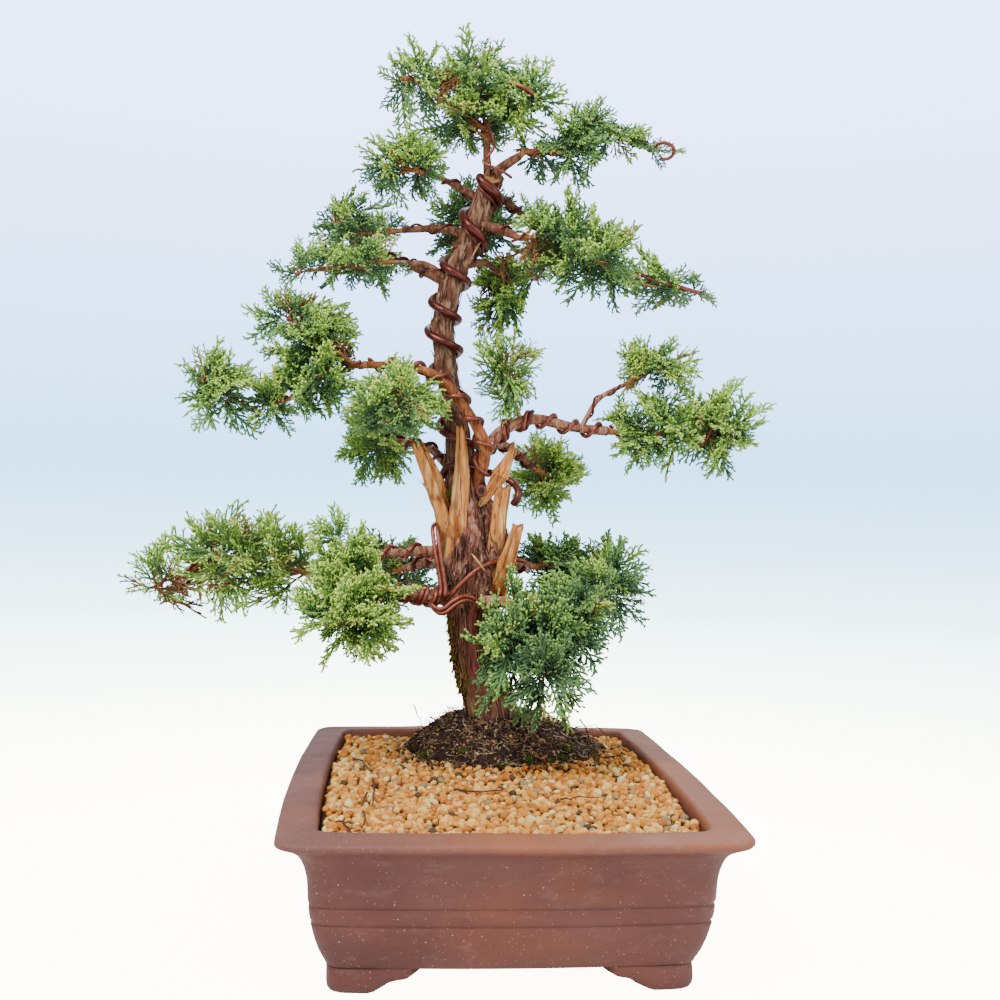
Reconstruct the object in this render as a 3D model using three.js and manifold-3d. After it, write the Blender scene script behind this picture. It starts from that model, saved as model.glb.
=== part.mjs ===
// Kishu juniper bonsai in its training pot, in millimetres, +Z up.
// The pot stands on four cloud feet. A slender trunk rises from a root mound through a swollen
// junction with splintered dead wood, and carries wired boughs that end in masses of foliage.
import * as THREE from 'three';
import { mergeVertices } from 'three/addons/utils/BufferGeometryUtils.js';
import Module from 'manifold-3d';

const wasm = await Module();
wasm.setup();

// Driving dimensions of the pot, measured at the rim unless a line says otherwise. Heights are
// counted from a level a little above the soles of the feet
const POT_WIDTH = 270;
const POT_DEPTH = 350;
const POT_HEIGHT = 88;
const POT_CORNER = 14;
const POT_SIDE_BOW = 5;
const FOOT_HEIGHT = 14.9;
const FOOT_SOLE = -3.3;
const WALL_FOOT = FOOT_SOLE + FOOT_HEIGHT;
const FOOT_INSET = 28.6;
const FOOT_THICKNESS = 12;
const FOOT_CURVE = 28.6;
const FOOT_GAP = 106.8;
const FLOOR_TOP = 22;
const SOIL_TOP = 84;
const HEAP_DEPTH = 2.4;
const HEAP_STEP = 21;

// Driving dimensions of the tree
const CLEARANCE = 0.3;
const TRUNK_FOOT = 113.1;
const FLARE_RADIUS = 20;
const TRUNK_WIRE = 5.4;
const BOUGH_WIRE = 3;
const PLUME_WIDTH = 22;
const PLUME_THICKNESS = 2.6;
const SHELL_PER_PLUME = 1050;

// The trunk's heart from its flat cut on the mound to the sawn top: x, y, height, radius
const TRUNK_STATIONS = [
  [3, 74, TRUNK_FOOT, FLARE_RADIUS],
  [-3, 73, 129, 17.5],
  [-12, 72, 156, 15],
  [-15, 70, 182, 15.5],
  [-14, 68, 204, 21.5],
  [-13, 68, 226, 25.5],
  [-16, 68, 253, 22],
  [-20, 69, 277, 15],
  [-25, 71, 302, 10.6],
  [-29, 72, 327, 8.8],
  [-36, 72, 360, 7.9],
  [-39, 72, 397, 7.7],
  [-36, 72, 428, 8.3],
  [-20, 70, 462, 8.4],
  [-12, 69, 487, 8.3],
  [-2, 67, 515, 7.4],
];

// Dead wood: splintered planks on the junction, each with points along it, width and thickness
const DEAD_WOOD = {
  jin_left: [
    {
      wide: [17, 6], thick: [12, 4], route: [[-28, 62, 232], [-37, 55, 263], [-49, 54, 286], [-60, 54, 311]],
    },
    { wide: [12, 4.5], thick: [9, 4], route: [[-30, 62, 252], [-41, 59, 283], [-55, 61, 309]] },
    { wide: [7, 1.6], thick: [6, 1.6], route: [[-40, 55, 268], [-52, 51, 280]] },
  ],
  jin_centre: [
    {
      wide: [18, 7], thick: [9, 4.5], route: [[-26, 54, 224], [-27, 48, 255], [-25, 48, 290], [-26, 50, 323]],
    },
  ],
  jin_right_splinter: [
    { wide: [7, 9], thick: [7, 4], route: [[-13, 58, 257], [-3, 50, 277], [6, 51, 294], [12, 54, 312]] },
  ],
  jin_right_wide: [
    { wide: [13, 10.5], thick: [12, 6], route: [[-3, 62, 218], [1, 53, 248], [6, 54, 279]] },
  ],
  jin_stub: [
    { wide: [15, 9.5], thick: [14, 8], route: [[0, 64, 197], [7, 48, 221], [15, 38, 252]] },
  ],
};

// Boughs: points along each one's heart, and its thickness at root and tip. A bough grows from the
// trunk unless it names another
const BOUGHS = {
  bough_low_left: { route: [[-16, 60, 196], [-42, 46, 200], [-67, 38, 204]], thick: [11, 8.5] },
  bough_low_right: { route: [[-14, 62, 196], [-6, 46, 198], [5, 35, 198]], thick: [11, 8] },
  bough_low_left_back: {
    route: [[-20, 68, 232], [-46, 67, 232], [-84, 74, 228], [-131, 82, 217]], thick: [9, 5],
  },
  bough_low_right_back: { route: [[-6, 74, 222], [16, 83, 222], [30, 92, 221]], thick: [9, 6] },
  bough_back_low: { route: [[-14, 74, 222], [-36, 106, 225], [-62, 134, 216]], thick: [10, 6] },
  bough_mid_left: {
    route: [[-17, 65, 273], [-9, 49, 300], [-14, 45, 319], [-38, 45, 351], [-62, 48, 362], [-96, 55, 364]],
    thick: [9.5, 5.5],
  },
  bough_mid_left_front: {
    from: 'bough_mid_left', route: [[-58, 48, 361], [-64, 42, 356], [-67, 39, 350]], thick: [4.4, 3.2],
  },
  bough_mid_left_back: { route: [[-24, 74, 279], [-44, 86, 305], [-72, 104, 313]], thick: [8, 5] },
  bough_mid_right: {
    from: 'bough_mid_left',
    route: [[-9, 49.5, 303], [4, 51, 319], [26, 52, 328], [54, 53, 323], [80, 54, 321]],
    thick: [9.5, 6.5],
  },
  bough_centre_tuft: {
    from: 'bough_mid_right', route: [[17, 52, 326], [15, 50, 331], [12, 48, 337]], thick: [3.6, 2.8],
  },
  bough_mid_right_upper: {
    from: 'bough_mid_right', route: [[60, 53, 322], [72, 50, 343], [90, 47, 354]], thick: [4.2, 3],
  },
  bough_mid_right_back: { route: [[-22, 74, 292], [4, 82, 311], [34, 102, 294]], thick: [7.5, 5] },
  bough_high_left_low: { route: [[-36, 72, 428], [-52, 64, 438], [-68, 59, 438]], thick: [6, 4] },
  bough_high_left: { route: [[-20, 70, 463], [-46, 74, 467], [-70, 78, 466]], thick: [7, 4.6] },
  bough_high_right: { route: [[-18, 70, 470], [-4, 62, 466], [10, 59, 461]], thick: [8, 6] },
  bough_high_back: { route: [[-18, 71, 463], [-17, 86, 470], [-16, 97, 476]], thick: [6, 4.4] },
  bough_hanging: { route: [[-29, 72, 439], [-10, 86, 446], [1, 96, 441]], thick: [6, 4.4] },
  bough_back_high_left: { route: [[-36, 73, 426], [-58, 96, 441], [-86, 118, 456]], thick: [7, 4.6] },
  bough_back_high_right: { route: [[-10, 68, 497], [12, 91, 489], [40, 116, 477]], thick: [6.6, 4.4] },
  bough_top_left: { route: [[-13, 69, 487], [-30, 63, 495], [-43, 61, 500]], thick: [6, 4.2] },
  bough_top_right: { route: [[-5, 67, 507], [6, 64, 515], [13, 62, 519]], thick: [7.5, 5.4] },
  leader: { route: [[-5, 67, 503], [-9, 66, 519], [-11, 66, 530]], thick: [7, 5] },
};

// Foliage: the bough that feeds each mass, and its space as lobes of centre and half size
const MASSES = {
  mass_apex: {
    bough: 'leader',
    lobes: [
      [-23, 70, 546, 41, 38, 17], [-21, 66, 573, 33, 44, 33],
      [-66, 62, 572, 26, 28, 23], [21, 64, 561, 24, 30, 26],
    ],
  },
  mass_top_left: { bough: 'bough_top_left', lobes: [[-71, 60, 506, 31, 30, 22]] },
  mass_top_right: {
    bough: 'bough_top_right',
    lobes: [[46, 60, 524, 36, 32, 23], [64, 60, 544, 17, 20, 20], [105, 60, 529, 31, 16, 12]],
  },
  mass_high_left_low: {
    bough: 'bough_high_left_low', lobes: [[-96, 56, 436, 27, 30, 20], [-133, 52, 429, 27, 26, 19]],
  },
  mass_high_left: { bough: 'bough_high_left', lobes: [[-106, 80, 470, 34, 36, 22]] },
  mass_high_right: {
    bough: 'bough_high_right',
    lobes: [[37, 58, 463, 27, 36, 29], [73, 56, 442, 33, 34, 31], [122, 52, 426, 38, 18, 14]],
  },
  mass_high_back: { bough: 'bough_high_back', lobes: [[-16, 131, 485, 37, 34, 31]] },
  mass_hanging: { bough: 'bough_hanging', lobes: [[8, 122, 424, 27, 38, 34]] },
  mass_back_high_left: { bough: 'bough_back_high_left', lobes: [[-112, 148, 467, 33, 40, 27]] },
  mass_back_high_right: { bough: 'bough_back_high_right', lobes: [[67, 148, 471, 36, 42, 30]] },
  mass_mid_left_front: { bough: 'bough_mid_left_front', lobes: [[-69, 31, 334, 35, 30, 29]] },
  mass_mid_left: {
    bough: 'bough_mid_left',
    lobes: [
      [-137, 60, 389, 37, 40, 29], [-133, 60, 350, 31, 34, 20],
      [-162, 64, 336, 20, 26, 22], [-201, 60, 346, 24, 28, 30],
    ],
  },
  mass_mid_left_back: { bough: 'bough_mid_left_back', lobes: [[-87, 140, 315, 28, 48, 33]] },
  mass_centre_tuft: { bough: 'bough_centre_tuft', lobes: [[5, 42, 358, 25, 30, 30]] },
  mass_mid_right: {
    bough: 'bough_mid_right', lobes: [[115, 54, 321, 36, 38, 31], [167, 50, 324, 28, 32, 34]],
  },
  mass_mid_right_upper: { bough: 'bough_mid_right_upper', lobes: [[115, 44, 368, 28, 26, 22]] },
  mass_mid_right_back: { bough: 'bough_mid_right_back', lobes: [[46, 146, 288, 28, 50, 34]] },
  mass_low_left_front: {
    bough: 'bough_low_left', lobes: [[-100, 18, 189, 44, 40, 34], [-107, 32, 225, 24, 28, 31]],
  },
  mass_low_left_back: {
    bough: 'bough_low_left_back', lobes: [[-183, 84, 222, 49, 42, 40], [-235, 84, 207, 27, 24, 22]],
  },
  mass_low_right_front: {
    bough: 'bough_low_right', lobes: [[25, 4, 167, 44, 44, 50], [62, 14, 201, 26, 30, 24]],
  },
  mass_low_right_back: {
    bough: 'bough_low_right_back', lobes: [[49, 116, 223, 26, 34, 21], [92, 122, 204, 40, 48, 38]],
  },
  mass_back_low: { bough: 'bough_back_low', lobes: [[-90, 178, 208, 46, 46, 34]] },
};

// Training wires on the boughs: where each helix starts and ends on its bough, and its pitch
const BOUGH_WIRES = {
  wire_low_left: { bough: 'bough_low_left', start: 0.48, end: 0.97, pitch: 9 },
  wire_low_left_back: { bough: 'bough_low_left_back', start: 0.3, end: 0.94, pitch: 16 },
  wire_mid_left: { bough: 'bough_mid_left', start: 0.44, end: 0.97, pitch: 19 },
  wire_mid_right: { bough: 'bough_mid_right', start: 0.44, end: 0.96, pitch: 18 },
};

// Heights at which the thick trunk wire passes the right and then the left side, in turn. It runs
// nearly level past the right side and climbs past the left
const TRUNK_WIRE_SIDES = [308, 322, 342, 362, 378, 392, 400, 414, 427, 442, 454, 478, 486, 508];

const vector = (list) => new THREE.Vector3(list[0], list[1], list[2]);
const mix = (first, last, share) => first + (last - first) * share;

// A closed mesh as a solid that can be joined and cut
function solidOf(geometry) {
  const bare = geometry.clone();
  bare.deleteAttribute('normal');
  bare.deleteAttribute('uv');
  const merged = mergeVertices(bare, 1e-4);
  return new wasm.Manifold(new wasm.Mesh({
    numProp: 3,
    vertProperties: new Float32Array(merged.attributes.position.array),
    triVerts: new Uint32Array(merged.index.array),
  }));
}

// A solid as a mesh, with flat faces
function geometryOf(solid) {
  const mesh = solid.getMesh();
  const geometry = new THREE.BufferGeometry();
  geometry.setAttribute('position', new THREE.BufferAttribute(new Float32Array(mesh.vertProperties), 3));
  geometry.setIndex(new THREE.BufferAttribute(new Uint32Array(mesh.triVerts), 1));
  const flat = geometry.toNonIndexed();
  flat.computeVertexNormals();
  return flat;
}

// Solids joined into one
const joinAll = (solids) => solids.reduce((sum, solid) => sum.add(solid));

// The biggest closed body of a solid: loose scraps and the skins of sealed hollows are dropped
function mainBody(solid) {
  const bodies = solid.decompose();
  bodies.sort((first, second) => second.volume() - first.volume());
  return bodies[0];
}

// A mesh of points and the faces between them
function meshOf(points, faces) {
  const geometry = new THREE.BufferGeometry();
  const numbers = points.flatMap((point) => point.toArray());
  geometry.setAttribute('position', new THREE.Float32BufferAttribute(numbers, 3));
  geometry.setIndex(faces.flat());
  return geometry;
}

// A closed mesh through rings of equal count, capped at both ends round the rings' middles
function loft(rings) {
  const count = rings[0].length;
  const positions = rings.flat();
  const faces = [];
  for (let row = 0; row + 1 < rings.length; row++) {
    for (let column = 0; column < count; column++) {
      const next = (column + 1) % count;
      const here = row * count;
      const above = here + count;
      faces.push([here + column, here + next, above + next], [here + column, above + next, above + column]);
    }
  }
  const sumOf = (ring) => ring.reduce((sum, point) => sum.add(point), new THREE.Vector3());
  const middleOf = (ring) => sumOf(ring).divideScalar(count);
  const lowMiddle = positions.push(middleOf(rings[0])) - 1;
  const highMiddle = positions.push(middleOf(rings.at(-1))) - 1;
  const lastRow = (rings.length - 1) * count;
  for (let column = 0; column < count; column++) {
    const next = (column + 1) % count;
    faces.push([lowMiddle, next, column], [highMiddle, lastRow + column, lastRow + next]);
  }
  return meshOf(positions, faces);
}

// Points along a smooth curve through a route, each with its direction and two side axes
function framesAlong(route, count) {
  const curve = new THREE.CatmullRomCurve3(route, false, 'catmullrom', 0.5);
  const frames = [];
  let side = null;
  for (let index = 0; index < count; index++) {
    const share = index / (count - 1);
    const ahead = curve.getTangent(share);
    if (side === null) {
      side = Math.abs(ahead.x) > 0.8 ? new THREE.Vector3(0, 1, 0) : new THREE.Vector3(1, 0, 0);
    }
    side = side.clone().addScaledVector(ahead, -side.dot(ahead)).normalize();
    frames.push({ share, point: curve.getPoint(share), ahead, side, across: ahead.clone().cross(side) });
  }
  return frames;
}

// A ring of points round a frame, with a radius for each direction
function ringRound(frame, sides, radiusAt) {
  const ring = [];
  for (let index = 0; index < sides; index++) {
    const angle = (index / sides) * 2 * Math.PI;
    const radius = radiusAt(angle);
    ring.push(frame.point.clone()
      .addScaledVector(frame.side, radius * Math.cos(angle))
      .addScaledVector(frame.across, radius * Math.sin(angle)));
  }
  return ring;
}

// Bough: one tapering limb; grown makes the same limb fatter by a clearance
const BOUGH_SIDES = 6;

function makeBough({ route, thick }, grown = 0) {
  const frames = framesAlong(route.map(vector), 2 * route.length + 1);
  return solidOf(loft(frames.map((frame) => {
    const radius = mix(thick[0], thick[1], frame.share) / 2 + grown;
    return ringRound(frame, BOUGH_SIDES, () => radius);
  })));
}

// Pot: a rectangle with round corners and bowed sides, its outline drawn in by the inset
const CORNER_STEPS = 3;
const SIDE_STEPS = 3;

function potOutline(inset, height) {
  const halfWidth = POT_WIDTH / 2 - inset;
  const halfDepth = POT_DEPTH / 2 - inset;
  const radius = POT_CORNER - inset * 0.2;
  const corners = [[1, 1], [-1, 1], [-1, -1], [1, -1]];
  const arcs = corners.map(([signX, signY], corner) => {
    const arc = [];
    for (let step = 0; step <= CORNER_STEPS; step++) {
      const angle = (corner + step / CORNER_STEPS) * Math.PI / 2;
      arc.push([
        signX * (halfWidth - radius) + radius * Math.cos(angle),
        signY * (halfDepth - radius) + radius * Math.sin(angle),
      ]);
    }
    return arc;
  });
  const outline = arcs.flatMap((arc, corner) => {
    const from = arc.at(-1);
    const to = arcs[(corner + 1) % 4][0];
    const straight = [];
    for (let step = 1; step < SIDE_STEPS; step++) {
      straight.push([mix(from[0], to[0], step / SIDE_STEPS), mix(from[1], to[1], step / SIDE_STEPS)]);
    }
    return [...arc, ...straight];
  });
  return outline.map(([x, y]) => new THREE.Vector3(
    x * (1 - POT_SIDE_BOW / halfWidth * (y / halfDepth) ** 2),
    y * (1 - POT_SIDE_BOW / halfDepth * (x / halfWidth) ** 2),
    height,
  ));
}

// Wall of the pot as inset and height: up the outside past two belt grooves, the cove and the
// overhanging rim, over the flat rim top and down the inside
const POT_PROFILE = [
  [27.8, WALL_FOOT], [25.4, 16], [21.8, 25],
  [19.2, 35.2], [20.5, 36.8], [18.8, 38.4],
  [17.9, 45], [19.2, 46.6], [17.6, 48.2],
  [17, 57], [15.8, 65], [13.4, 72], [9.2, 77.2], [3.8, 80.4],
  [0.5, 82.2], [0, 83.6], [0.3, 85.2], [1.6, 86.1],
  [20, POT_HEIGHT], [21.6, 86.4], [24, 70], [33, FLOOR_TOP],
];
const FOOT_SINK = 1;

// The gap between two feet, cut through the pot's whole width: each end rises in a cloud curve
function footOpening(reach, gap) {
  const shape = new THREE.Shape();
  const top = FOOT_HEIGHT + 2 * FOOT_SINK;
  const half = gap / 2;
  shape.moveTo(-half - FOOT_CURVE, -1);
  shape.lineTo(-half - FOOT_CURVE, 0);
  shape.bezierCurveTo(-half - 19.6, 0.5, -half - 22.6, 6.4, -half - 7.6, 7.9);
  shape.quadraticCurveTo(-half - 2.6, 8.8, -half, FOOT_HEIGHT);
  shape.lineTo(-half, top);
  shape.lineTo(half, top);
  shape.lineTo(half, FOOT_HEIGHT);
  shape.quadraticCurveTo(half + 2.6, 8.8, half + 7.6, 7.9);
  shape.bezierCurveTo(half + 22.6, 6.4, half + 19.6, 0.5, half + FOOT_CURVE, 0);
  shape.lineTo(half + FOOT_CURVE, -1);
  const geometry = new THREE.ExtrudeGeometry(shape, { depth: reach, bevelEnabled: false, curveSegments: 3 });
  geometry.rotateX(Math.PI / 2);
  geometry.translate(0, reach / 2, FOOT_SOLE);
  return geometry;
}

function makePot() {
  const body = solidOf(loft(POT_PROFILE.map(([inset, height]) => potOutline(inset, height))));
  const footTop = WALL_FOOT + FOOT_SINK;
  const outside = solidOf(loft([potOutline(FOOT_INSET, FOOT_SOLE), potOutline(FOOT_INSET - 0.2, footTop)]));
  const inner = FOOT_INSET + FOOT_THICKNESS;
  const inside = solidOf(loft([potOutline(inner, FOOT_SOLE - 1), potOutline(inner, footTop + 1)]));
  const frontOpening = solidOf(footOpening(POT_DEPTH + 10, FOOT_GAP));
  const sideGeometry = footOpening(POT_WIDTH + 10, FOOT_GAP + POT_DEPTH - POT_WIDTH);
  sideGeometry.rotateZ(Math.PI / 2);
  const sideOpening = solidOf(sideGeometry);
  const feet = outside.subtract(inside).subtract(frontOpening).subtract(sideOpening);
  return mainBody(body.add(feet));
}

// Soil: the grit that fills the pot to just under the rim, heaped unevenly round the root mound
const SOIL_PROFILE = [[33.6, FLOOR_TOP + CLEARANCE], [24.6, 69.8], [22.9, 81], [22.6, SOIL_TOP + 1]];
const HEAP_COUNTS = [11, 15];
const HEAP_LENGTHS = [7, 8];
const MOUND_CENTRE = [11, 84];
const MOUND_HALF = [73, 55];

function soilHeight(x, y) {
  const reach = Math.hypot((x - MOUND_CENTRE[0]) / MOUND_HALF[0], (y - MOUND_CENTRE[1]) / MOUND_HALF[1]);
  const heap = 0.5 + 0.5 * Math.sin(x / HEAP_LENGTHS[0] + 1) * Math.cos(y / HEAP_LENGTHS[1]);
  return reach < 1.15 ? SOIL_TOP : SOIL_TOP - HEAP_DEPTH * (1 - heap);
}

function makeSoil() {
  const fill = solidOf(loft(SOIL_PROFILE.map(([inset, height]) => potOutline(inset, height))));
  const size = HEAP_COUNTS.map((count) => count * HEAP_STEP);
  const heaps = new THREE.BoxGeometry(...size, 2 * SOIL_TOP, ...HEAP_COUNTS, 1);
  const points = heaps.attributes.position;
  for (let index = 0; index < points.count; index++) {
    if (points.getZ(index) > 0) {
      points.setZ(index, soilHeight(points.getX(index), points.getY(index)));
    }
  }
  return fill.intersect(solidOf(heaps));
}

// Root mound: a low cone of fine roots, its top levelled for the trunk's flat cut
const MOUND_SIDES = 20;
const MOUND_TOP_RADIUS = 27;
const MOUND_RINGS = [[0, 0], [0.1, 0.17], [0.34, 0.44], [0.66, 0.78], [1, 1]];

function makeMound() {
  const base = SOIL_TOP + CLEARANCE;
  const top = TRUNK_FOOT - CLEARANCE;
  const rings = MOUND_RINGS.map(([inward, upward]) => {
    const ring = [];
    for (let index = 0; index < MOUND_SIDES; index++) {
      const angle = (index / MOUND_SIDES) * 2 * Math.PI;
      const ragged = 1 + (1 - inward) * (0.05 * Math.sin(3 * angle + 1) + 0.04 * Math.sin(7 * angle));
      ring.push(new THREE.Vector3(
        mix(MOUND_CENTRE[0], TRUNK_STATIONS[0][0], inward)
          + mix(MOUND_HALF[0] * ragged, MOUND_TOP_RADIUS, inward) * Math.cos(angle),
        mix(MOUND_CENTRE[1], TRUNK_STATIONS[0][1], inward)
          + mix(MOUND_HALF[1] * ragged, MOUND_TOP_RADIUS, inward) * Math.sin(angle),
        mix(base, top, upward),
      ));
    }
    return ring;
  });
  return solidOf(loft(rings));
}

// Trunk: fluted bark that flares into root spurs at the foot and swells at the junction
const TRUNK_SIDES = 12;
const TRUNK_RINGS = 34;

function trunkStation(height) {
  let index = 0;
  while (index < TRUNK_STATIONS.length - 2 && TRUNK_STATIONS[index + 1][2] < height) {
    index += 1;
  }
  const low = TRUNK_STATIONS[index];
  const high = TRUNK_STATIONS[index + 1];
  const share = (height - low[2]) / (high[2] - low[2]);
  const smooth = share * share * (3 - 2 * share);
  return {
    point: new THREE.Vector3(mix(low[0], high[0], share), mix(low[1], high[1], share), height),
    radius: mix(low[3], high[3], smooth),
  };
}

function fluting(angle, height) {
  const spurs = Math.max(0, 1 - (height - TRUNK_FOOT) / 30) * 0.12 * Math.cos(3 * angle + 0.6);
  const swell = Math.exp(-(((height - 222) / 34) ** 2)) * 0.1 * Math.cos(2 * angle);
  return 1 + spurs + swell + 0.04 * Math.sin(5 * angle + height / 26);
}

function trunkLoft(grown) {
  const top = TRUNK_STATIONS.at(-1)[2];
  const rings = [];
  for (let row = 0; row < TRUNK_RINGS; row++) {
    const height = mix(TRUNK_FOOT, top, row / (TRUNK_RINGS - 1));
    const { point, radius } = trunkStation(height);
    const ring = [];
    for (let index = 0; index < TRUNK_SIDES; index++) {
      const angle = (index / TRUNK_SIDES) * 2 * Math.PI;
      const reach = radius * fluting(angle, height) + grown;
      ring.push(new THREE.Vector3(reach * Math.cos(angle), reach * Math.sin(angle), 0).add(point));
    }
    rings.push(ring);
  }
  return loft(rings);
}

// A coil of wire round a line of frames: the wire's heart stands off the bark by its own half
// thickness and the clearance, and a little more so that its straight steps stay clear too
function coil(heart, thickness, sides) {
  const frames = framesAlong(heart, heart.length);
  return solidOf(loft(frames.map((frame) => ringRound(frame, sides, () => thickness / 2))));
}

const TRUNK_WIRE_STEPS = 10;
const TRUNK_WIRE_SLANT = 2.4;

function trunkWireHeart() {
  const heart = [];
  const halfTurns = TRUNK_WIRE_SIDES.length - 1;
  const steps = halfTurns * TRUNK_WIRE_STEPS / 2;
  for (let step = 0; step <= steps; step++) {
    const turn = step / steps * halfTurns;
    const index = Math.min(Math.floor(turn), halfTurns - 1);
    const even = mix(TRUNK_WIRE_SIDES[index], TRUNK_WIRE_SIDES[index + 1], turn - index);
    const height = even - TRUNK_WIRE_SLANT * Math.sin(turn * Math.PI);
    const angle = -turn * Math.PI;
    const { point, radius } = trunkStation(height);
    const bark = radius * (fluting(angle, height) + 0.04);
    const reach = (bark + CLEARANCE + TRUNK_WIRE / 2) / Math.cos(Math.PI / TRUNK_WIRE_STEPS);
    heart.push(point.add(new THREE.Vector3(reach * Math.cos(angle), reach * Math.sin(angle), 0)));
  }
  return heart;
}

const BOUGH_WIRE_STEPS = 8;

function boughWireHeart({ bough, start, end, pitch }) {
  const { route, thick } = BOUGHS[bough];
  const curve = new THREE.CatmullRomCurve3(route.map(vector), false, 'catmullrom', 0.5);
  const turns = curve.getLength() * (end - start) / pitch;
  const count = Math.round(turns * BOUGH_WIRE_STEPS) + 1;
  const fine = framesAlong(route.map(vector), 200);
  const heart = [];
  for (let step = 0; step < count; step++) {
    const share = mix(start, end, step / (count - 1));
    const frame = fine[Math.round(share * (fine.length - 1))];
    const angle = -step / BOUGH_WIRE_STEPS * 2 * Math.PI;
    const bark = mix(thick[0], thick[1], share) / 2;
    const reach = (bark + CLEARANCE + BOUGH_WIRE / 2) / Math.cos(Math.PI / BOUGH_WIRE_STEPS);
    heart.push(frame.point.clone()
      .addScaledVector(frame.side, reach * Math.cos(angle))
      .addScaledVector(frame.across, reach * Math.sin(angle)));
  }
  return heart;
}

// Dead wood: a flat splintered plank whose end is broken off at a slant. The section is six
// corners as shares of the half width and half thickness
const PLANK_RINGS = 6;
const PLANK_SECTION = [[1, 0.3], [0.55, 1], [-0.5, 0.85], [-1, 0.2], [-0.7, -0.9], [0.6, -1]];
const PLANK_SLANT = 0.7;

function plank({ route, wide, thick }, grown = 0) {
  const frames = framesAlong(route.map(vector), PLANK_RINGS);
  return solidOf(loft(frames.map((frame) => {
    const halfWide = mix(wide[0], wide[1], frame.share) / 2 + grown;
    const halfThick = mix(thick[0], thick[1], frame.share) / 2 + grown;
    const slant = frame.share === 1 ? halfWide * PLANK_SLANT : 0;
    return PLANK_SECTION.map(([along, through]) => frame.point.clone()
      .addScaledVector(frame.side, along * halfWide)
      .addScaledVector(frame.across, through * halfThick)
      .addScaledVector(frame.ahead, along * slant));
  })));
}

// Chance with a seed, the same run of numbers every time
function chance(seed) {
  let state = seed >>> 0;
  return () => {
    state = (Math.imul(state, 1664525) + 1013904223) >>> 0;
    return state / 4294967296;
  };
}

// How far out a point lies in a mass's space: 0 at a lobe's middle, 1 on its skin
function levelIn(lobes, point) {
  let lowest = Infinity;
  for (const lobe of lobes) {
    const level = Math.hypot(
      (point.x - lobe[0]) / lobe[3],
      (point.y - lobe[1]) / lobe[4],
      (point.z - lobe[2]) / lobe[5],
    );
    lowest = Math.min(lowest, level);
  }
  return lowest;
}

// Every limb as short straight stretches with a radius, to keep foliage off the bark
const TRUNK_BULGE = 1.14;

function limbStretches() {
  const stretches = [];
  const addRun = (points, radii) => {
    for (let index = 0; index + 1 < points.length; index++) {
      const line = new THREE.Line3(points[index], points[index + 1]);
      stretches.push({ line, radius: Math.max(radii[index], radii[index + 1]) });
    }
  };
  addRun(TRUNK_STATIONS.map(vector), TRUNK_STATIONS.map((station) => station[3] * TRUNK_BULGE + TRUNK_WIRE));
  for (const { route, thick } of Object.values(BOUGHS)) {
    const frames = framesAlong(route.map(vector), 9);
    const radii = frames.map((frame) => mix(thick[0], thick[1], frame.share) / 2 + BOUGH_WIRE);
    addRun(frames.map((frame) => frame.point), radii);
  }
  for (const planks of Object.values(DEAD_WOOD)) {
    for (const { route, wide } of planks) {
      addRun(route.map(vector), route.map(() => wide[0] / 2));
    }
  }
  return stretches;
}

const STRETCHES = limbStretches();
const OTHER_MASS_MARGIN = 0.09;
const LIMB_MARGIN = 1.6;

// A point may be used by a mass when it is in its own space, nearer to it than to any other
// mass's, and off every limb
function isFree(name, point) {
  const own = levelIn(MASSES[name].lobes, point);
  if (own > 1) {
    return false;
  }
  for (const [other, { lobes }] of Object.entries(MASSES)) {
    if (other !== name && levelIn(lobes, point) < own + OTHER_MASS_MARGIN) {
      return false;
    }
  }
  const nearest = new THREE.Vector3();
  return STRETCHES.every(({ line, radius }) => {
    line.closestPointToPoint(point, true, nearest);
    return nearest.distanceTo(point) > radius + LIMB_MARGIN;
  });
}

// A plume: a thin twig that opens into a flat blade with pairs of teeth and ends in a point.
// Each station is how far along it lies, and its half width as a share of the whole width
const PLUME_STATIONS = [[0.34, 0.07], [0.58, 0.5], [0.65, 0.22], [0.83, 0.36]];
const PLUME_FLAT = 0.5;

function plumeRings(root, tip, across) {
  const ahead = tip.clone().sub(root).normalize();
  const through = ahead.clone().cross(across);
  const length = tip.distanceTo(root);
  return PLUME_STATIONS.map(([along, wide]) => {
    const middle = root.clone().addScaledVector(ahead, along * length);
    const halfWide = wide * PLUME_WIDTH;
    const halfThick = Math.min(halfWide, PLUME_THICKNESS / 2);
    return [[-1, -PLUME_FLAT], [1, -PLUME_FLAT], [0, 1]].map(([out, up]) => middle.clone()
      .addScaledVector(across, out * halfWide)
      .addScaledVector(through, up * halfThick));
  });
}

// The same ring, started at the corner that keeps the walls from a root face untwisted
function untwisted(ring, corners) {
  const turns = [0, 1, 2].map((turn) => [0, 1, 2].map((index) => ring[(index + turn) % 3]));
  const wander = (turned) => turned.reduce((sum, point, index) => sum + point.distanceTo(corners[index]), 0);
  return turns.reduce((best, turned) => (wander(turned) < wander(best) ? turned : best));
}

// Whether an edge passes through a triangle that it shares no corner with
const sightLine = new THREE.Ray();
const crossing = new THREE.Vector3();

function pierces(points, from, to, corners) {
  if (corners.includes(from) || corners.includes(to)) {
    return false;
  }
  sightLine.origin.copy(points[from]);
  sightLine.direction.copy(points[to]).sub(points[from]).normalize();
  const [first, second, third] = corners.map((corner) => points[corner]);
  const hit = sightLine.intersectTriangle(first, second, third, false, crossing);
  return hit !== null && crossing.distanceTo(points[from]) < points[from].distanceTo(points[to]);
}

function facesCross(points, one, other) {
  return one.box.intersectsBox(other.box) && [0, 1, 2].some((index) => {
    const next = (index + 1) % 3;
    return pierces(points, one.corners[index], one.corners[next], other.corners)
      || pierces(points, other.corners[index], other.corners[next], one.corners);
  });
}

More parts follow.
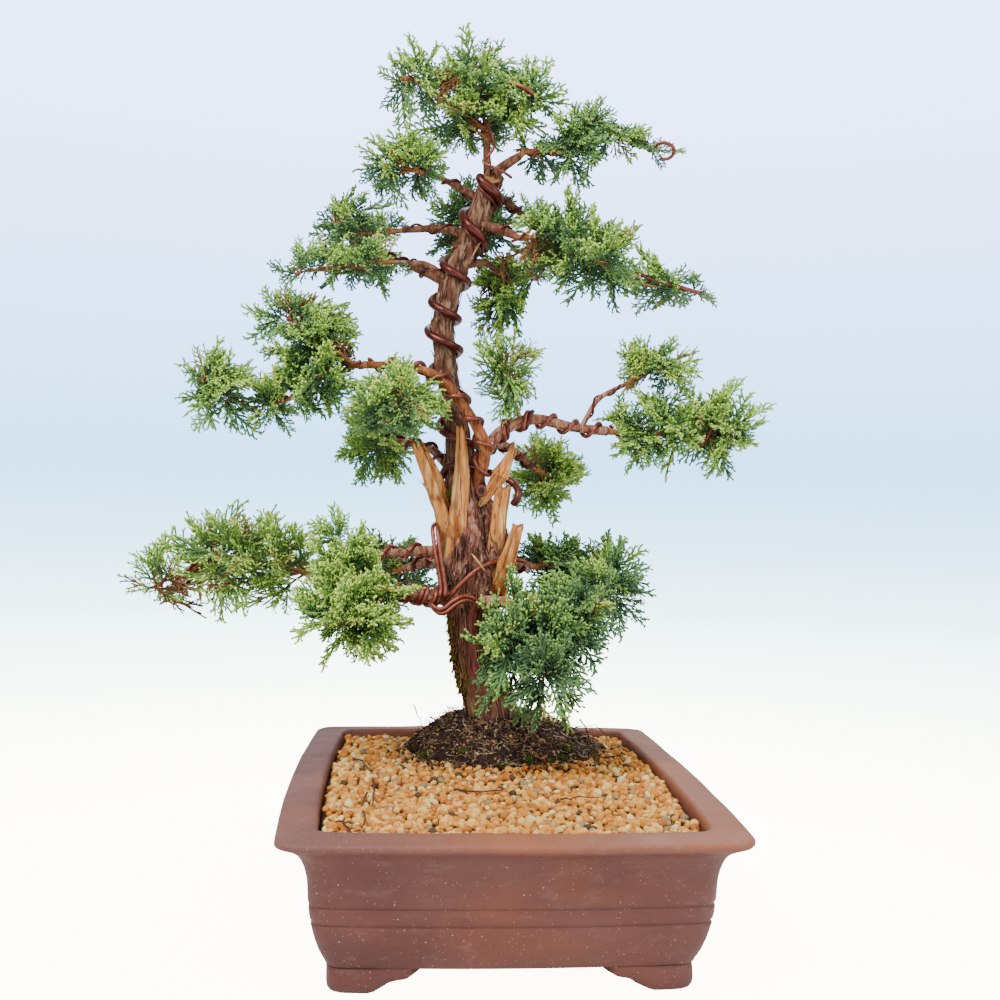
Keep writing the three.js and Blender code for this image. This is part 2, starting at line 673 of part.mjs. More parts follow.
function faceOf(skin, corners, isStem) {
  const box = new THREE.Box3().setFromPoints(corners.map((corner) => skin.points[corner]));
  return { corners, isStem, box };
}

// A three-sided limb drawn out of a root triangle of the skin, through rings to a point. If its
// walls would cross the skin, the skin stays as it was and the answer is false
function drawOut(skin, root, rings, tip, isStem) {
  const pointsBefore = skin.points.length;
  const others = skin.faces.filter((face) => face !== root);
  const walls = [];
  let low = root.corners;
  for (const ring of rings) {
    const turned = untwisted(ring, low.map((corner) => skin.points[corner]));
    const high = turned.map((point) => skin.points.push(point) - 1);
    for (let index = 0; index < 3; index++) {
      const next = (index + 1) % 3;
      walls.push(faceOf(skin, [low[index], low[next], high[next]], isStem));
      walls.push(faceOf(skin, [low[index], high[next], high[index]], isStem));
    }
    low = high;
  }
  const end = skin.points.push(tip) - 1;
  for (let index = 0; index < 3; index++) {
    walls.push(faceOf(skin, [low[index], low[(index + 1) % 3], end], false));
  }
  const all = [...others, ...walls];
  if (walls.some((wall) => all.some((other) => wall !== other && facesCross(skin.points, wall, other)))) {
    skin.points.length = pointsBefore;
    return false;
  }
  skin.faces = all;
  return true;
}

// The stem faces that look towards a target, those nearest to a wanted place first
const PLUME_LOOK = 0.4;
const BRANCH_LOOK = 0.05;

function rootPlaces(skin, wanted, target, look) {
  const places = skin.faces.filter((face) => face.isStem).map((face) => {
    const [first, second, third] = face.corners.map((corner) => skin.points[corner]);
    const middle = first.clone().add(second).add(third).divideScalar(3);
    const outward = second.clone().sub(first).cross(third.clone().sub(first)).normalize();
    return { face, middle, outward };
  });
  const looking = places.filter(({ middle, outward }) => (
    target.clone().sub(middle).normalize().dot(outward) > look));
  looking.sort((one, other) => one.middle.distanceTo(wanted) - other.middle.distanceTo(wanted));
  return looking;
}

// The stem's first run, a closed skin of its own
const STEM_SIDES = 4;
const STEM_RINGS = 6;
const STEM_END_THICK = 2.4;

function stemSkin(stem, thick) {
  const radiusAt = (frame) => mix(thick, STEM_END_THICK, frame.share) / 2;
  const geometry = loft(stem.map((frame) => ringRound(frame, STEM_SIDES, () => radiusAt(frame))));
  const place = geometry.attributes.position;
  const skin = { points: [], faces: [] };
  for (let index = 0; index < place.count; index++) {
    skin.points.push(new THREE.Vector3().fromBufferAttribute(place, index));
  }
  for (let index = 0; index < geometry.index.count; index += 3) {
    const corners = [0, 1, 2].map((step) => geometry.index.getX(index + step));
    skin.faces.push(faceOf(skin, corners, corners.every((corner) => corner < STEM_SIDES * STEM_RINGS)));
  }
  return skin;
}

// A branch of the stem into a further lobe, from the first root face that it can leave freely
const BRANCH_KNEES = [5, 9, 3, 14];

function drawBranch(skin, wanted, centre, end, thick) {
  for (const step of BRANCH_KNEES) {
    for (const place of rootPlaces(skin, wanted, centre, BRANCH_LOOK)) {
      const knee = place.middle.clone().addScaledVector(place.outward, step).lerp(centre, 0.15);
      const stem = framesAlong([place.middle, knee, centre, end], STEM_RINGS).slice(1);
      const radiusAt = (frame) => mix(thick, STEM_END_THICK, frame.share) / 2;
      const rings = stem.map((frame) => ringRound(frame, 3, () => radiusAt(frame)));
      const tip = end.clone().add(stem.at(-1).ahead);
      if (drawOut(skin, place.face, rings, tip, true)) {
        return stem;
      }
    }
  }
  throw new Error('no free root for a branch');
}

function drawPlume(name, skin, wanted, tip, roll) {
  const place = rootPlaces(skin, wanted, tip, PLUME_LOOK)[0];
  if (!place) {
    return false;
  }
  const ahead = tip.clone().sub(place.middle).normalize();
  const level = new THREE.Vector3(0, 0, 1).cross(ahead);
  if (level.length() < 0.2) {
    level.set(1, 0, 0).addScaledVector(ahead, -ahead.x);
  }
  const across = level.normalize().applyAxisAngle(ahead, roll);
  const rings = plumeRings(place.middle, tip, across);
  return rings.flat().every((point) => isFree(name, point)) && drawOut(skin, place.face, rings, tip, false);
}

// The stems of a mass: the first runs on from the bough's tip into the first lobe, and a branch is
// drawn out of it into each further lobe
const STEM_REACH = 0.5;
const BRANCH_THICK = 0.7;

function growStems({ bough, lobes }) {
  const boughTip = framesAlong(BOUGHS[bough].route.map(vector), 9).at(-1);
  const thick = BOUGHS[bough].thick[1];
  const start = boughTip.point.clone().addScaledVector(boughTip.ahead, CLEARANCE);
  const endOf = (from, lobe) => vector(lobe).sub(from).normalize()
    .multiply(vector(lobe.slice(3))).multiplyScalar(STEM_REACH).add(vector(lobe));
  const knee = start.clone().addScaledVector(boughTip.ahead, 8);
  const stems = [framesAlong([start, knee, vector(lobes[0]), endOf(start, lobes[0])], STEM_RINGS)];
  const skin = stemSkin(stems[0], thick);
  for (const lobe of lobes.slice(1)) {
    const centre = vector(lobe);
    const heart = stems.flat().map((frame) => frame.point);
    const reachFrom = (point) => point.distanceTo(centre);
    const near = heart.reduce((best, point) => (reachFrom(point) < reachFrom(best) ? point : best));
    const wanted = heart[Math.max(heart.indexOf(near) - 1, 1)];
    stems.push(drawBranch(skin, wanted, centre, endOf(near, lobe), thick * BRANCH_THICK));
  }
  return { skin, stems };
}

// One mass of foliage, a single skin: plumes are drawn out of the stem in each lobe, aimed evenly
// at all sides of the lobe's skin. A plume that would leave the space or touch is skipped
const GOLDEN_ANGLE = 2.399963;
const PLUME_TRIES = 8;
const PLUME_ROLL = 2.2;
const PLUME_REACH = 0.98;

function growMass(name) {
  const { lobes } = MASSES[name];
  const random = chance(Object.keys(MASSES).indexOf(name) * 7919 + 17);
  const { skin, stems } = growStems(MASSES[name]);
  lobes.forEach((lobe, order) => {
    const stem = stems[order];
    const centre = vector(lobe);
    const half = vector(lobe.slice(3));
    const shell = 4 / 3 * Math.PI * (half.x * half.y + half.y * half.z + half.x * half.z);
    const count = Math.max(5, Math.round(shell / SHELL_PER_PLUME));
    const turn = random() * 2 * Math.PI;
    for (let index = 0; index < count; index++) {
      const up = 1 - (2 * index + 1) / count;
      const angle = turn + index * GOLDEN_ANGLE;
      const flat = Math.sqrt(1 - up * up);
      const aim = new THREE.Vector3(flat * Math.cos(angle), flat * Math.sin(angle), up).multiply(half);
      const tip = centre.clone().addScaledVector(aim, PLUME_REACH);
      for (let attempt = 0; attempt < PLUME_TRIES; attempt++) {
        const wanted = stem[Math.floor(random() * (stem.length - 1))].point;
        const roll = (random() - 0.5) * PLUME_ROLL;
        if (drawPlume(name, skin, wanted, tip, roll)) {
          break;
        }
      }
    }
  });
  return solidOf(meshOf(skin.points, skin.faces.map((face) => face.corners)));
}

const FINISH = {
  clay: new THREE.MeshStandardMaterial({ color: '#7b4c42', roughness: 0.75, metalness: 0 }),
  grit: new THREE.MeshStandardMaterial({ color: '#bd9455', roughness: 0.95, metalness: 0 }),
  roots: new THREE.MeshStandardMaterial({ color: '#3c2b21', roughness: 1, metalness: 0 }),
  bark: new THREE.MeshStandardMaterial({ color: '#8b5a42', roughness: 0.9, metalness: 0 }),
  deadwood: new THREE.MeshStandardMaterial({ color: '#cf9f62', roughness: 0.75, metalness: 0 }),
  wire: new THREE.MeshStandardMaterial({ color: '#7a3f2e', roughness: 0.35, metalness: 0.7 }),
  foliage: new THREE.MeshStandardMaterial({ color: '#4d7a3c', roughness: 0.7, metalness: 0 }),
};

const TRUNK_WIRE_SECTION = 6;
const BOUGH_WIRE_SECTION = 5;
const bonsai = new THREE.Group();

function addPiece(name, solid, finish) {
  const mesh = new THREE.Mesh(geometryOf(solid), FINISH[finish].clone());
  mesh.name = name;
  bonsai.add(mesh);
}

addPiece('pot', makePot(), 'clay');
addPiece('soil', makeSoil(), 'grit');
addPiece('root_mound', makeMound(), 'roots');
addPiece('trunk', solidOf(trunkLoft(0)), 'bark');

const barkClear = solidOf(trunkLoft(CLEARANCE));
const wireHeart = trunkWireHeart();
const wireClear = coil(wireHeart, TRUNK_WIRE + 2 * CLEARANCE, TRUNK_WIRE_SECTION);
addPiece('wire_trunk', coil(wireHeart, TRUNK_WIRE, TRUNK_WIRE_SECTION), 'wire');

for (const [name, bough] of Object.entries(BOUGHS)) {
  const parent = BOUGHS[bough.from];
  const solid = makeBough(bough).subtract(barkClear);
  addPiece(name, mainBody(parent ? solid.subtract(makeBough(parent, CLEARANCE)) : solid), 'bark');
}

for (const [name, plan] of Object.entries(BOUGH_WIRES)) {
  addPiece(name, coil(boughWireHeart(plan), BOUGH_WIRE, BOUGH_WIRE_SECTION), 'wire');
}

let deadClear = barkClear;
for (const [name, planks] of Object.entries(DEAD_WOOD)) {
  const solid = joinAll(planks.map((each) => plank(each))).subtract(deadClear).subtract(wireClear);
  addPiece(name, mainBody(solid), 'deadwood');
  deadClear = deadClear.add(joinAll(planks.map((each) => plank(each, CLEARANCE))));
}

for (const name of Object.keys(MASSES)) {
  addPiece(name, growMass(name), 'foliage');
}

// The origin is the middle of the underside of the whole plant's box
bonsai.updateMatrixWorld(true);
const box = new THREE.Box3().setFromObject(bonsai);
bonsai.position.set(-(box.min.x + box.max.x) / 2, -(box.min.y + box.max.y) / 2, -box.min.z);

export default bonsai;
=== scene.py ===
# Kishu juniper bonsai in its training pot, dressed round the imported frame.
# Tables are in millimetres from the middle of the pot, +X to the right and +Y to the back. Heights are
# counted from a level a little above the soles of the feet.
import itertools
import math

import bpy
import numpy as np
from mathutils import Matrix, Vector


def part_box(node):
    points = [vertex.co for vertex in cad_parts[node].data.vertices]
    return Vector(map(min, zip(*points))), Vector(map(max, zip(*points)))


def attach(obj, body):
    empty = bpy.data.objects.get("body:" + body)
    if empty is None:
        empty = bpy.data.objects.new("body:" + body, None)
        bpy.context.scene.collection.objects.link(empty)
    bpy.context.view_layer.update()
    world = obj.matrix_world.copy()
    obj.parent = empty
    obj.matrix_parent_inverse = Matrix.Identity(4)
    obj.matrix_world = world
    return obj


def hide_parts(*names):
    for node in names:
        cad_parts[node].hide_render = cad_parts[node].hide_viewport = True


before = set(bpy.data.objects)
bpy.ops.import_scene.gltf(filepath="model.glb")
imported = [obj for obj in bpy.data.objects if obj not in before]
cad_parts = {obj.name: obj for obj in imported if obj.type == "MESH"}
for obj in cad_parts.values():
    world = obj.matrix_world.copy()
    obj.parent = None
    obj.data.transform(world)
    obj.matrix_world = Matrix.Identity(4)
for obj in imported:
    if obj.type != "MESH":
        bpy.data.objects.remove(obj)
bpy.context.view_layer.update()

# Pot: a hand-pressed oblong training pot of unglazed red-brown clay on four cloud feet. Its wall
# flares past two belt lines and a cove to a heavy overhanging rim, left a little uneven.
MILLIMETRE = 0.001
POT_WIDTH = 270
POT_DEPTH = 350
POT_CORNER = 14
POT_SIDE_BOW = 5
CORNER_STEPS = 12
SIDE_STEPS = 60
POT_PROFILE = [
    (27.8, 11.6), (27.2, 12.2), (26.4, 14.2), (25.2, 16.4), (23.6, 20), (21.8, 25), (20.4, 30),
    (19.4, 34.3), (19.2, 35.3), (19.9, 36.1), (20.1, 36.8), (19.4, 37.5), (18.7, 38.6), (18.2, 41),
    (17.9, 44), (17.9, 45.1), (18.6, 45.9), (18.8, 46.6), (18.1, 47.3), (17.5, 48.4), (17.2, 52),
    (17, 57), (16.6, 61), (15.8, 65), (14.8, 68.5), (13.4, 72), (11.5, 75), (9.2, 77.2), (6.5, 79),
    (3.8, 80.4), (1.8, 81.4), (0.6, 82.2), (0.1, 83), (0, 83.8), (0.05, 84.8), (0.5, 85.5),
    (1.6, 86.1), (4, 86.5), (12, 87.4), (18, 87.9), (20, 87.7), (21.2, 86.8), (21.7, 85), (22, 82),
    (24, 70), (33, 22),
]
FOOT_INSET = 28.6
FOOT_HEIGHT = 14.9
FOOT_SOLE = -3.3
FOOT_TENON = 1.4
FOOT_GAP_HALF = 53.4
FOOT_CURVE_LOW = [(-28.6, 0), (-19.6, 0.5), (-22.6, 6.4), (-7.6, 7.9)]
FOOT_CURVE_HIGH = [(-7.6, 7.9), (-2.6, 8.8), (0, 14.9)]

pot_low, pot_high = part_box("pot")
POT_MIDDLE = np.array([(pot_low[0] + pot_high[0]) / 2, (pot_low[1] + pot_high[1]) / 2,
                       pot_low[2] - FOOT_SOLE * MILLIMETRE])


def linear(colour):
    """A hex colour as the numbers that a shader takes"""
    parts = [int(colour[index:index + 2], 16) / 255 for index in (1, 3, 5)]
    return [part / 12.92 if part <= 0.04045 else ((part + 0.055) / 1.055) ** 2.4 for part in parts] + [1]


def new_material(name, roughness, specular=0.5):
    material = bpy.data.materials.new(name)
    material.use_nodes = True
    tree = material.node_tree
    shader = tree.nodes["Principled BSDF"]
    shader.inputs["Roughness"].default_value = roughness
    shader.inputs["Specular IOR Level"].default_value = specular
    return material, tree, shader


def add_node(tree, kind, inputs=None, **settings):
    """A node with its settings, and its inputs set to a value or linked to an output"""
    made = tree.nodes.new(kind)
    for key, value in settings.items():
        setattr(made, key, value)
    for key, value in (inputs or {}).items():
        if isinstance(value, bpy.types.NodeSocket):
            tree.links.new(value, made.inputs[key])
        else:
            made.inputs[key].default_value = value
    return made


def mixed(tree, share, first, second, blend="MIX"):
    """The colour between two, or their product, by a share from 0 to 1"""
    inputs = {0: share, 6: first, 7: second}
    return add_node(tree, "ShaderNodeMix", inputs, data_type="RGBA", blend_type=blend).outputs[2]


def stretched(tree, scale):
    """Object coordinates times a scale for each axis, in cells per metre"""
    inputs = {0: add_node(tree, "ShaderNodeTexCoord").outputs["Object"], 1: scale}
    return add_node(tree, "ShaderNodeVectorMath", inputs, operation="MULTIPLY").outputs[0]


def noise(tree, cells, detail=3, roughness=0.5):
    """Noise over cells per metre for each axis, or over places that are given"""
    place = stretched(tree, cells) if isinstance(cells, tuple) else cells
    inputs = {"Vector": place, "Scale": 1, "Detail": detail, "Roughness": roughness}
    return add_node(tree, "ShaderNodeTexNoise", inputs).outputs["Fac"]


def spread(tree, value, low, high):
    """A value stretched so that low becomes 0 and high becomes 1"""
    inputs = {"Value": value, "From Min": low, "From Max": high}
    return add_node(tree, "ShaderNodeMapRange", inputs).outputs["Result"]


def patches(tree, cells, low, high, detail=3, roughness=0.5):
    """A mask of noise that rises from 0 at low to 1 at high"""
    return spread(tree, noise(tree, cells, detail, roughness), low, high)


def maths(tree, operation, first, second=0.5):
    return add_node(tree, "ShaderNodeMath", {0: first, 1: second}, operation=operation).outputs[0]


def product(tree, *values):
    made = values[0]
    for value in values[1:]:
        made = maths(tree, "MULTIPLY", made, value)
    return made


def coordinate(tree, axis):
    """The place along one axis, in metres"""
    return add_node(tree, "ShaderNodeSeparateXYZ", {0: stretched(tree, (1, 1, 1))}).outputs[axis]


def stained(tree, colour, hue, *masks):
    """A colour turned to a hex hue by the product of the masks"""
    return mixed(tree, product(tree, *masks), colour, linear(hue))


def mottled(name, dark, light, cells, detail, finish, ends=None, bump=None):
    """A material from dark to light; finish is its roughness and specular, ends stretch the noise"""
    material, tree, shader = new_material(name, *finish)
    pattern = noise(tree, (cells, cells, cells), detail, 0.7 if ends else 0.5)
    if ends:
        pattern = spread(tree, pattern, *ends)
    tree.links.new(mixed(tree, pattern, dark, light), shader.inputs["Base Color"])
    if bump:
        set_bump(tree, shader, pattern, *bump)
    return material


def shaded(colour, share):
    """A hex colour at a share of its light"""
    return [part * share for part in linear(colour)[:3]] + [1]


def set_bump(tree, shader, height, strength, distance):
    inputs = {"Height": height, "Strength": strength, "Distance": distance}
    tree.links.new(add_node(tree, "ShaderNodeBump", inputs).outputs["Normal"], shader.inputs["Normal"])


def new_group(name, inputs, outputs):
    """An empty node group with named sockets, and its input and output nodes"""
    group = bpy.data.node_groups.new(name, "ShaderNodeTree")
    for title, kind, value in inputs:
        group.interface.new_socket(title, in_out="INPUT", socket_type=kind).default_value = value
    for title, kind in outputs:
        group.interface.new_socket(title, in_out="OUTPUT", socket_type=kind)
    return group, group.nodes.new("NodeGroupInput").outputs, group.nodes.new("NodeGroupOutput").inputs


def use_group(tree, group, **inputs):
    inputs = {key.replace("_", " "): value for key, value in inputs.items()}
    return add_node(tree, "ShaderNodeGroup", inputs, node_tree=group).outputs


class Gathered:
    """Points and faces of many small things that become one mesh"""

    def __init__(self):
        self.points = []
        self.faces = []
        self.tints = []
        self.count = 0

    def add(self, points, blocks, tint=0):
        for block in blocks:
            self.faces.append(block + self.count)
            owners = np.atleast_1d(tint)
            self.tints.append(np.repeat(owners, len(block) // len(owners)))
        self.points.append(points)
        self.count += len(points)

    def make(self, name, materials):
        mesh = bpy.data.meshes.new(name)
        points = POT_MIDDLE + np.concatenate(self.points) * MILLIMETRE
        sizes = np.concatenate([np.full(len(block), block.shape[1]) for block in self.faces])
        corners = np.concatenate([block.ravel() for block in self.faces])
        mesh.vertices.add(len(points))
        mesh.vertices.foreach_set("co", points.astype(np.float32).ravel())
        mesh.loops.add(len(corners))
        mesh.loops.foreach_set("vertex_index", corners.astype(np.int32))
        mesh.polygons.add(len(sizes))
        mesh.polygons.foreach_set("loop_start", (np.cumsum(sizes) - sizes).astype(np.int32))
        mesh.polygons.foreach_set("material_index", np.concatenate(self.tints).astype(np.int32))
        for material in materials:
            mesh.materials.append(material)
        mesh.update(calc_edges=True)
        mesh.shade_smooth()
        piece = bpy.data.objects.new(name, mesh)
        bpy.context.scene.collection.objects.link(piece)
        return piece


def wall_faces(rows, columns):
    """Faces between rings, with the number of each point and of its neighbour"""
    index = np.arange(rows * columns).reshape(rows, columns)
    right = np.roll(index, -1, axis=1)
    return np.stack([index[:-1], right[:-1], right[1:], index[1:]], axis=-1).reshape(-1, 4), index, right


def loft(rings):
    """Points and faces of a closed skin through rings of equal count, capped round their middles"""
    rows, columns = rings.shape[:2]
    walls, index, right = wall_faces(rows, columns)
    low = np.full(columns, rows * columns)
    caps = [np.stack([low, right[0], index[0]], axis=-1), np.stack([low + 1, index[-1], right[-1]], axis=-1)]
    points = np.concatenate([rings.reshape(-1, 3), rings[0].mean(0)[None], rings[-1].mean(0)[None]])
    return points, [walls, *caps]


def ray(angle):
    """Level directions at angles"""
    return np.stack([np.cos(angle), np.sin(angle), np.zeros_like(angle)], axis=-1)


def pot_half(inset):
    return np.array([POT_WIDTH / 2 - inset, POT_DEPTH / 2 - inset])


def side_bow(plan, half):
    """How much the bowed sides draw in at places, as a share"""
    return 1 - POT_SIDE_BOW / half * (plan[:, ::-1] / half[::-1]) ** 2


def pot_outline(inset, height=0):
    """The pot's plan at an inset: a rectangle with round corners and bowed sides"""
    half = pot_half(inset)
    radius = POT_CORNER - inset * 0.2
    steps = np.linspace(0, 1, CORNER_STEPS + 1)
    arcs = [np.array(sign) * (half - radius) + radius * ray((corner + steps) * math.pi / 2)[:, :2]
            for corner, sign in enumerate([(1, 1), (-1, 1), (-1, -1), (1, -1)])]
    shares = np.linspace(0, 1, SIDE_STEPS + 1)[1:-1, None]
    sides = [arc[-1] + (after[0] - arc[-1]) * shares for arc, after in zip(arcs, arcs[1:] + arcs[:1])]
    plan = np.concatenate([run for pair in zip(arcs, sides) for run in pair])
    return np.column_stack([plan * side_bow(plan, half), np.full(len(plan), height)])


def guided_curve(guides):
    """Points of the curve that a row of guide points draws"""
    share = np.linspace(0, 1, 20)
    last = len(guides) - 1
    return sum(np.outer(math.comb(last, step) * share ** step * (1 - share) ** (last - step), point)
               for step, point in enumerate(guides))


def foot_gap(place, half):
    """Height of the opening between two feet, half its width from the middle of the side"""
    curve = np.concatenate([guided_curve(FOOT_CURVE_LOW), guided_curve(FOOT_CURVE_HIGH)[1:]])
    return np.interp(half - np.abs(place), curve[:, 0], curve[:, 1], left=0, right=FOOT_HEIGHT)


pot_rings = np.array([pot_outline(inset, height) for inset, height in POT_PROFILE])
turn = np.linspace(0, 2 * math.pi, pot_rings.shape[1], endpoint=False)
unevenness = 0.25 * np.sin(5 * turn + 1) + 0.2 * np.sin(11 * turn + 2) + 0.1 * np.sin(23 * turn)
WAVY_FROM = 30
WAVY_FULL = 80
upper = np.clip((pot_rings[:, :, 2] - WAVY_FROM) / (WAVY_FULL - WAVY_FROM), 0, 1)
pot_rings[:, :, 2] += upper * unevenness
pot_rings[:, :, :2] *= 1 + upper[:, :, None] * unevenness[None, :, None] * 0.0016
pot_shape = Gathered()
pot_shape.add(*loft(pot_rings))

foot_outer = pot_outline(FOOT_INSET)
side_gap_half = FOOT_GAP_HALF + (POT_DEPTH - POT_WIDTH) / 2
opening = np.maximum(foot_gap(foot_outer[:, 0], FOOT_GAP_HALF), foot_gap(foot_outer[:, 1], side_gap_half))
standing = opening < FOOT_HEIGHT - 0.05
starts = np.flatnonzero(standing & ~np.roll(standing, 1))
FOOT_SECTION = [(-0.2, 17), (-0.7, 9), (-0.9, 5), (-0.5, 2.4), (0.4, 0.8), (1.8, 0), (10.4, 0), (11.6, 1),
                (12, 3), (12, 17)]
foot_inward, foot_up = np.array(FOOT_SECTION).T
foot_skin = np.stack([pot_outline(FOOT_INSET + inward) for inward in foot_inward], axis=1)
foot_skin[..., 2] = FOOT_SOLE + np.minimum(opening[:, None] + foot_up, FOOT_HEIGHT + FOOT_TENON)
for start in starts:
    onward = np.roll(np.arange(len(standing)), -start)
    pot_shape.add(*loft(foot_skin[onward[:standing[onward].argmin()]]))

speckle, speckle_in, speckle_out = new_group(
    "pale_speckle", [("Cells per metre", "NodeSocketFloat", 300), ("Size", "NodeSocketFloat", 0.1)],
    [("Mask", "NodeSocketFloat")])
speckle_place = add_node(speckle, "ShaderNodeTexCoord").outputs["Object"]
speckle_cells = add_node(speckle, "ShaderNodeTexVoronoi", {
    "Vector": speckle_place, "Scale": speckle_in["Cells per metre"], "Randomness": 1})
speckle_dots = maths(speckle, "LESS_THAN", speckle_cells.outputs["Distance"], speckle_in["Size"])
speckle_chance = add_node(speckle, "ShaderNodeSeparateColor", {0: speckle_cells.outputs["Color"]}).outputs[0]
speckle_some = maths(speckle, "GREATER_THAN", speckle_chance, 0.55)
speckle.links.new(maths(speckle, "MULTIPLY", speckle_dots, speckle_some), speckle_out["Mask"])

clay, tree, shader = new_material("unglazed_clay", 0.6, 0.35)
clouds = patches(tree, (11, 11, 22), 0.32, 0.68, 5)
fired = mixed(tree, clouds, linear("#5b3029"), linear("#6d4036"))
warm = patches(tree, (14, 14, 30), 0.5, 0.66, 2)
rim = spread(tree, coordinate(tree, 2), 0.083, 0.09)
fired = stained(tree, fired, "#8e4a28", warm, maths(tree, "ADD", maths(tree, "MULTIPLY", rim, 0.5), 0.25))
right_end = spread(tree, coordinate(tree, 0), -0.09, 0.02)
rim_hue = mixed(tree, right_end, linear("#75524f"), linear("#9c5f40"))
fired = mixed(tree, maths(tree, "MULTIPLY", rim, 0.55), fired, rim_hue)
dust = patches(tree, (70, 70, 160), 0.55, 0.8, 6, 0.7)
fired = stained(tree, fired, "#94716a", dust, 0.3)
for hue, cells, size in (("#b08a76", 480, 0.12), ("#d2b7a2", 190, 0.055)):
    dots = use_group(tree, speckle, Cells_per_metre=cells, Size=size)["Mask"]
    fired = stained(tree, fired, hue, dots)
tree.links.new(fired, shader.inputs["Base Color"])
tree.links.new(patches(tree, (40, 40, 60), 1.6, -0.5, 4), shader.inputs["Roughness"])
grain = maths(tree, "ADD", noise(tree, (900, 900, 900)),
              maths(tree, "MULTIPLY", noise(tree, (60, 60, 260)), 2))
set_bump(tree, shader, grain, 0.25, 0.0006)

pot = pot_shape.make("clay_pot", [clay])
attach(pot, "root")
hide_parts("pot")

# Soil: moist ochre grit of 4 to 6 mm, with a few grey, pale and dark grains, heaped unevenly to just
# under the rim. The bed below is one closed body, coloured dark as painted shade in the gaps between
# the grains. Round grains lie on it over a bed of finer ones.
SOIL_TOP = 84
HEAP_DEPTH = 2.4
HEAP_LENGTHS = (7, 8)
ROW_PITCH = 0.87
GRAIN_FIELD = (118, 158)
WALL_INSET = 25.4
GRAIN_TINTS = ["#f2aa4c", "#e29034", "#ffc86e", "#c8762c", "#ffe29e", "#a58e68", "#5d452a"]
GRAIN_SHARES = [0.3, 0.25, 0.2, 0.12, 0.06, 0.04, 0.03]
MOUND_CENTRE = np.array([11, 84])
MOUND_HALF = np.array([73, 55])


def icosahedron():
    """Points and faces of a unit icosahedron"""
    golden = (1 + math.sqrt(5)) / 2
    points = []
    for first in (-1, 1):
        for second in (-golden, golden):
            points += [(0, first, second), (first, second, 0), (second, 0, first)]
    points = np.array(points) / math.hypot(1, golden)
    edge = 2 / math.hypot(1, golden)
    faces = []
    for first, second, third in itertools.combinations(range(12), 3):
        one, two, three = points[first], points[second], points[third]
        if np.allclose(np.linalg.norm([one - two, two - three, three - one], axis=1), edge):
            outward = np.dot(np.cross(two - one, three - one), one) > 0
            faces.append((first, second, third) if outward else (first, third, second))
    return points, np.array(faces)


def rounder(points, faces):
    """The same ball with every face split into four"""
    points = list(points)
    halves = {}

    def half(first, second):
        key = (min(first, second), max(first, second))
        if key not in halves:
            middle = points[first] + points[second]
            points.append(middle / np.linalg.norm(middle))
            halves[key] = len(points) - 1
        return halves[key]

    split = []
    for one, two, three in faces:
        near, far, back = half(one, two), half(two, three), half(three, one)
        split += [(one, near, back), (near, two, far), (back, far, three), (near, far, back)]
    return np.array(points), np.array(split)


CRUMB = icosahedron()
PEBBLE = rounder(*CRUMB)


def random_turns(random, count):
    """Rotation matrices in every direction"""
    spin = random.normal(size=(count, 4))
    w, x, y, z = (spin / np.linalg.norm(spin, axis=1, keepdims=True)).T
    return np.stack([
        1 - 2 * (y * y + z * z), 2 * (x * y - z * w), 2 * (x * z + y * w),
        2 * (x * y + z * w), 1 - 2 * (x * x + z * z), 2 * (y * z - x * w),
        2 * (x * z - y * w), 2 * (y * z + x * w), 1 - 2 * (x * x + y * y),
    ], axis=1).reshape(count, 3, 3)


def stones(random, ball, places, sizes):
    """Irregular stones at places, each knocked out of round its own way"""
    points, faces = ball
    count = len(places)
    lumps = random.normal(size=(count, 6, 3))
    lumps /= np.linalg.norm(lumps, axis=2, keepdims=True)
    facing = np.clip(np.einsum("nlj,vj->nlv", lumps, points) - 0.55, 0, 1)
    knocked = 1 - (facing * random.uniform(0.2, 0.75, (count, 6, 1))).sum(1)
    knocked = knocked[..., None] * points * random.uniform(0.76, 1.16, (count, 1, 3))
    turned = np.einsum("nvi,nji->nvj", knocked, random_turns(random, count))
    made = places[:, None] + turned * sizes[:, None, None] / 2
    blocks = (faces[None] + len(points) * np.arange(count)[:, None, None]).reshape(-1, 3)
    return made.reshape(-1, 3), [blocks]


def inside_pot(places, inset):
    half = pot_half(inset)
    return np.all(np.abs(places) < half * side_bow(places, half), axis=1)


def mound_reach(places):
    """How far out from the mound's middle places lie: 1 is its skirt"""
    return np.hypot(*((places - MOUND_CENTRE) / MOUND_HALF).T)


def soil_height(places):
    heap = 0.5 + 0.5 * np.sin(places[:, 0] / HEAP_LENGTHS[0] + 1) * np.cos(places[:, 1] / HEAP_LENGTHS[1])
    return np.where(mound_reach(places) < 1.15, SOIL_TOP, SOIL_TOP - HEAP_DEPTH * (1 - heap))


grain_materials = [mottled(f"grit_{index}", shaded(colour, 0.5), linear(colour), 700, 4, (0.8, 0.3),
                           (0.3, 0.7), (0.5, 0.0005)) for index, colour in enumerate(GRAIN_TINTS)]
# The bed's earth is dark as painted shade, for the gaps between the grains
bed_painted_shade = mottled("bed_painted_shade", linear("#2f2114"), linear("#5a4128"), 500, 4, (0.95, 0.2))

